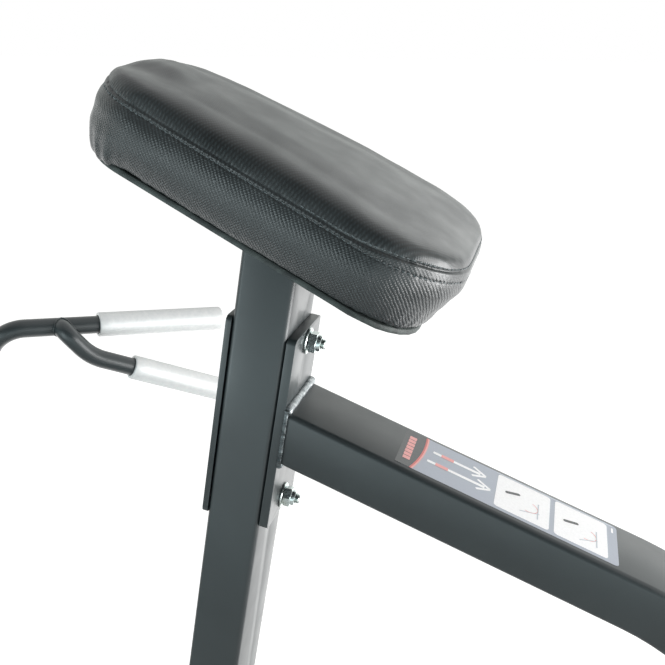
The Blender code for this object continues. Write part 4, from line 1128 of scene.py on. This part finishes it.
def buildBoard():  # its upper edge is planed off, so that a dark gap shows under the cover
    edge = {"inset": 0.0168, "thick": 0.005, "slack": 0.0005, "reach": 0.004, "chamfer": 0.0028,
            "round": 0.0004}
    piece = copyForEdit("pad_board", "pad_board_finished")
    mergeFacets()
    bpy.ops.mesh.select_all(action="DESELECT")
    finder = walkOutline(edge["inset"])[2]

    def onRim(vertex):
        s, y, h = padPlace(vertex.co)
        return h > edge["thick"] - edge["slack"] and finder.find((s, y, 0))[2] < edge["reach"]

    chooseParts(piece, "edges", lambda side: all(onRim(vertex) for vertex in side.verts))
    bpy.ops.mesh.bevel(offset=edge["chamfer"], segments=2, clamp_overlap=True)
    done()
    for vertex in piece.data.vertices:  # its ends spring down a little
        vertex.co -= padUp * trim("board", padPlace(vertex.co)[0])
    bevelEdges(piece, edge["round"])
    settle(piece, "frame", "board", ["pad_board"])
    print("board ready")


def creaseCover(shape, around):  # the seam's groove, the pull of the stitches, the lap and the gathers
    moves = []
    for vertex in shape.verts:
        s, y, h = padPlace(vertex.co)
        run, gap = around(s, y)
        if gap > cushion["creaseReach"]:
            continue
        high, wide = h - cushion["seamHigh"], stripWide(s)
        least, edge = cushion["grooveLeast"], cushion["lapEdge"]
        off = (high - wide) / cushion["grooveWide"]
        ends = max(zone("grooveRear", s), cushion["grooveFront"] * zone("grooveFront", -s))
        depth = cushion["grooveDeep"] * (least + (1 - least) * ends) * math.exp(-off * off)
        off = high / cushion["stitchWide"]
        beat = 0.55 + 0.45 * math.cos(2 * math.pi * run / cushion["stitchStep"])
        depth += cushion["stitchDeep"] * beat * math.exp(-off * off)
        depth -= cushion["lapLift"] * smoothStep(high, 0, edge) * (1 - smoothStep(high, wide - edge, wide))
        low = (h - cushion["base"]) / cushion["gatherHigh"]
        if low < 1.6:
            fold = math.sin(2 * math.pi * run / cushion["gatherStep"] + 1.7 * math.sin(run * 31))
            corner = 0.15 + 1.8 * zone("gatherFront", -s) + 0.5 * zone("gatherRear", s)
            depth += cushion["gatherDeep"] * corner * fold * math.exp(-low * low)
        if depth:
            moves.append((vertex, vertex.normal * -depth))
    for vertex, move in moves:
        vertex.co += move


def markCloth(shape, around, total):  # flat coordinates of the panels, in metres
    cloth = shape.loops.layers.uv.new("cloth")
    for face in shape.faces:
        s, y, h = padPlace(face.calc_center_median())
        middle = around(s, y)[0]
        panel = (h > cushion["seamHigh"] + stripWide(s)
                 or h < cushion["base"] + 0.004 and abs(face.normal.dot(padUp)) > 0.7)
        for loop in face.loops:
            ls, ly, lh = padPlace(loop.vert.co)
            run = around(ls, ly)[0]
            run += total * round((middle - run) / total)
            loop[cloth].uv = (ls, ly) if panel else (-run, lh)


def buildCushion():
    piece = copyForEdit("pad_cushion", "pad_cushion_cover")
    done()
    useModifier(piece, "REMESH", mode="VOXEL", voxel_size=cushion["voxel"])
    fairShape(piece)
    simulateFill(piece)
    places, total, finder = walkOutline(cushion["seamInset"])

    def around(s, y):  # distance along the outline, and from it
        _, i, gap = finder.find((s, y, 0))
        return places[i][2], gap

    def nearSeam(face, above=0.004, reach=0.016):
        s, y, h = padPlace(face.calc_center_median())
        return (-above < h - cushion["seamHigh"] < stripWide(s) + above) and around(s, y)[1] < reach

    trimShape(piece, around)
    useModifier(piece, "SUBSURF", levels=1, render_levels=1)
    edit(piece, "DESELECT")
    chooseParts(piece, "faces", nearSeam)
    bpy.ops.mesh.subdivide(number_cuts=3, smoothness=0.0)
    done()
    shape = bmesh.new()
    shape.from_mesh(piece.data)
    shape.normal_update()
    creaseCover(shape, around)
    markCloth(shape, around, total)
    shape.to_mesh(piece.data)
    shape.free()
    settle(piece, "frame", "vinyl", ["pad_cushion"], 0)
    piece.data.shade_smooth()
    buildStitches(piece, places, total)
    print("cushion ready, faces:", len(piece.data.polygons))


def buildStitches(cover, places, total):
    rows = (("pad_topstitch", False, -1.0, 0.0001), ("pad_seam_stitch", True, 0.02, 0.0002))
    bpy.context.evaluated_depsgraph_get().update()
    count = round(total / cushion["stitchStep"])
    deselect()
    bpy.ops.mesh.primitive_cylinder_add(vertices=6, radius=cushion["stitchRadius"], depth=cushion["stitchLong"])
    stitch = bpy.context.object
    edit(stitch)
    bpy.ops.mesh.subdivide(number_cuts=1)
    done()
    useModifier(stitch, "BEVEL", width=0.0003, segments=1)
    stitch.data.materials.append(sewingThread("sewingThread", "747f82"))
    for rowName, onLap, startS, out in rows:  # startS: none further forward than this
        copies = []
        for i in range(count):
            run = total * (i + 0.5) / count
            point, way, _ = min(places, key=lambda place: abs(place[2] - run))
            if point.x < startS:
                continue
            height = cushion["seamHigh"] + (stripWide(point.x) + cushion["lapStitch"] if onLap else 0.0)
            outward = Vector((way.y, -way.x, 0))
            origin = padPoint(point.x + outward.x * 0.03, point.y + outward.y * 0.03, height)
            hit, place, normal, _ = cover.ray_cast(origin, -(padWay * outward.x + sideways * outward.y))
            if not hit:
                continue
            along = padWay * way.x + sideways * way.y
            along = (along - normal * along.dot(normal)).normalized()
            across = normal.cross(along)
            copy = addObject("stitch", stitch.data.copy())
            turn = Matrix((across.cross(along), across, along)).transposed()
            copy.matrix_world = Matrix.Translation(place + normal * out) @ turn.to_4x4()
            copies.append(copy)
        settle(joinAll(rowName, copies), "frame", "vinyl", (), 40, True)
    bpy.data.objects.remove(stitch)


# Printed label on the beam, in millimetres along the beam from its root and across it

label = {
    "t": (97.0, 303.0), "sides": (-31.5, 32.6), "corner": 4.0, "film": 0.12, "lift": 0.05,
    "arcCentre": (-46.0, 16.0), "arcRadius": 163.6, "arcLine": 1.5,
    "bars": 7, "barAlong": (101.6, 108.4), "barFirst": -20.2, "barWide": 5.4, "barStep": 6.3,
    "arrows": ((13.0, 126.0, 178.0), (-6.0, 123.0, 184.0)), "arrowHead": 32,
    "panels": ((188.4, 239.2), (243.8, 293.4)), "panelSides": (-27.2, 29.6), "panelCorner": 3.5,
    "inks": {"greyFilm": "a4abb7", "darkFilm": "2b2e2f", "redFilm": "cf5a52", "whiteFilm": "fbfbfb",
             "paleFilm": "c4c9d0", "blushFilm": "eda09b"},
}


def buildLabel():
    root = beamRoot(layout["plateThick"] + layout["gap"]) + beamUp * (layout["tubeDeep"] / 2)
    inks = {name: printedFilm(name, colour) for name, colour in label["inks"].items()}
    patches = []

    def lay(piece, ink, layer):  # thickened, and set on the beam's top, each layer a film higher
        edit(piece)
        bpy.ops.mesh.extrude_region_move(TRANSFORM_OT_translate={"value": (0, 0, label["film"] * 0.8)})
        closeUp()
        piece.data.materials.append(inks[ink])
        piece.matrix_world = (Matrix.Translation(root + beamUp * (layer * label["film"] + label["lift"]) / 1000)
                              @ Matrix((beamWay, sideways, beamUp)).transposed().to_4x4()
                              @ Matrix.Scale(0.001, 4) @ piece.matrix_world)
        apply(piece)
        patches.append(piece)

    def patch(ink, t0, t1, y0, y1, corner, layer, turn=0.0):
        deselect()
        bpy.ops.mesh.primitive_plane_add(size=1)
        piece = bpy.context.object
        piece.scale = (t1 - t0, y1 - y0, 1)
        bpy.ops.object.transform_apply()
        edit(piece)
        bpy.ops.mesh.bevel(offset=corner, segments=5, affect="VERTICES", clamp_overlap=True)
        done()
        piece.rotation_euler.z = math.radians(turn)
        piece.location = ((t0 + t1) / 2, (y0 + y1) / 2, 0)
        apply(piece)
        lay(piece, ink, layer)

    def disc(ink, t, y, radius, layer, line=0.0, cuts=()):
        deselect()
        bpy.ops.mesh.primitive_circle_add(vertices=160, radius=radius, location=(t, y, 0),
                                          fill_type="NOTHING" if line else "NGON")
        piece = bpy.context.object
        edit(piece)
        if line:
            bpy.ops.mesh.extrude_edges_move()
            size = (radius + line) / radius
            bpy.ops.transform.resize(value=(size, size, 1), center_override=(t, y, 0))
        for point, normal in cuts:
            bpy.ops.mesh.select_all(action="SELECT")
            bpy.ops.mesh.bisect(plane_co=point, plane_no=normal, clear_outer=True, use_fill=False)
        done()
        lay(piece, ink, layer)

    t0, t1 = label["t"]
    low, high = label["sides"]
    radius, line = label["arcRadius"], label["arcLine"]
    patch("greyFilm", t0, t1, low, high, label["corner"], 0)
    sides = (((0, high, 0), (0, 1, 0)), ((0, low, 0), (0, -1, 0)), ((t0 - 0.3, 0, 0), (-1, 0, 0)))
    disc("darkFilm", *label["arcCentre"], radius, 1, 0, sides)
    disc("redFilm", *label["arcCentre"], radius - line * 0.4, 2, line, sides)
    disc("blushFilm", *label["arcCentre"], radius + line * 0.6, 2, line, sides)
    for i in range(label["bars"]):  # a plain row of short bars
        start = label["barFirst"] + label["barStep"] * i
        patch("blushFilm", *label["barAlong"], start, start + label["barWide"], 0.5, 2)
    for y, start, end in label["arrows"]:  # two plain arrows
        patch("whiteFilm", start, end - 6, y - 2.0, y + 2.0, 0.8, 1)
        patch("blushFilm", start + 8, start + 20, y - 2.6, y + 2.6, 0.6, 2)
        for hand in (1, -1):
            side = y - 4.2 * hand
            patch("whiteFilm", end - 14.6, end + 0.4, side - 1.4, side + 1.4, 0.6, 1, hand * label["arrowHead"])
    for number, (a, b) in enumerate(label["panels"]):  # two white panels with plain strokes
        patch("whiteFilm", a, b, *label["panelSides"], label["panelCorner"], 1)
        middle = (a + b) / 2
        patch("darkFilm", a + 8, a + 23, 4.6 - 2 * number, 8.2 - 2 * number, 1.6, 2, 24 - 6 * number)
        disc("blushFilm", middle + 6, -4, 8.0, 2, 0.6, (((middle + 6, -4, 0), (-1, 0.4, 0)),))
        patch("paleFilm", middle - 3, middle + 17, -13, -12.0, 0.4, 2, 24 + 8 * number)
        patch("paleFilm", middle + 14, middle + 15.2, -18, 8, 0.4, 2)
    patch("paleFilm", label["panels"][0][0] - 2, t1 - 4, high - 2.6, high - 1.0, 0.6, 1)
    patch("whiteFilm", t1 - 5.4, t1 - 3.6, high - 13.0, high - 5.0, 0.8, 1)
    settle(joinAll("beam_label", patches), "frame", "vinyl", (), 0, True)
    print("label ready")


buildStudio()
buildMetalwork()
buildFasteners()
buildWelds()
buildHandles()
buildHorns()
buildMats()
buildLabel()
buildBoard()
buildCushion()
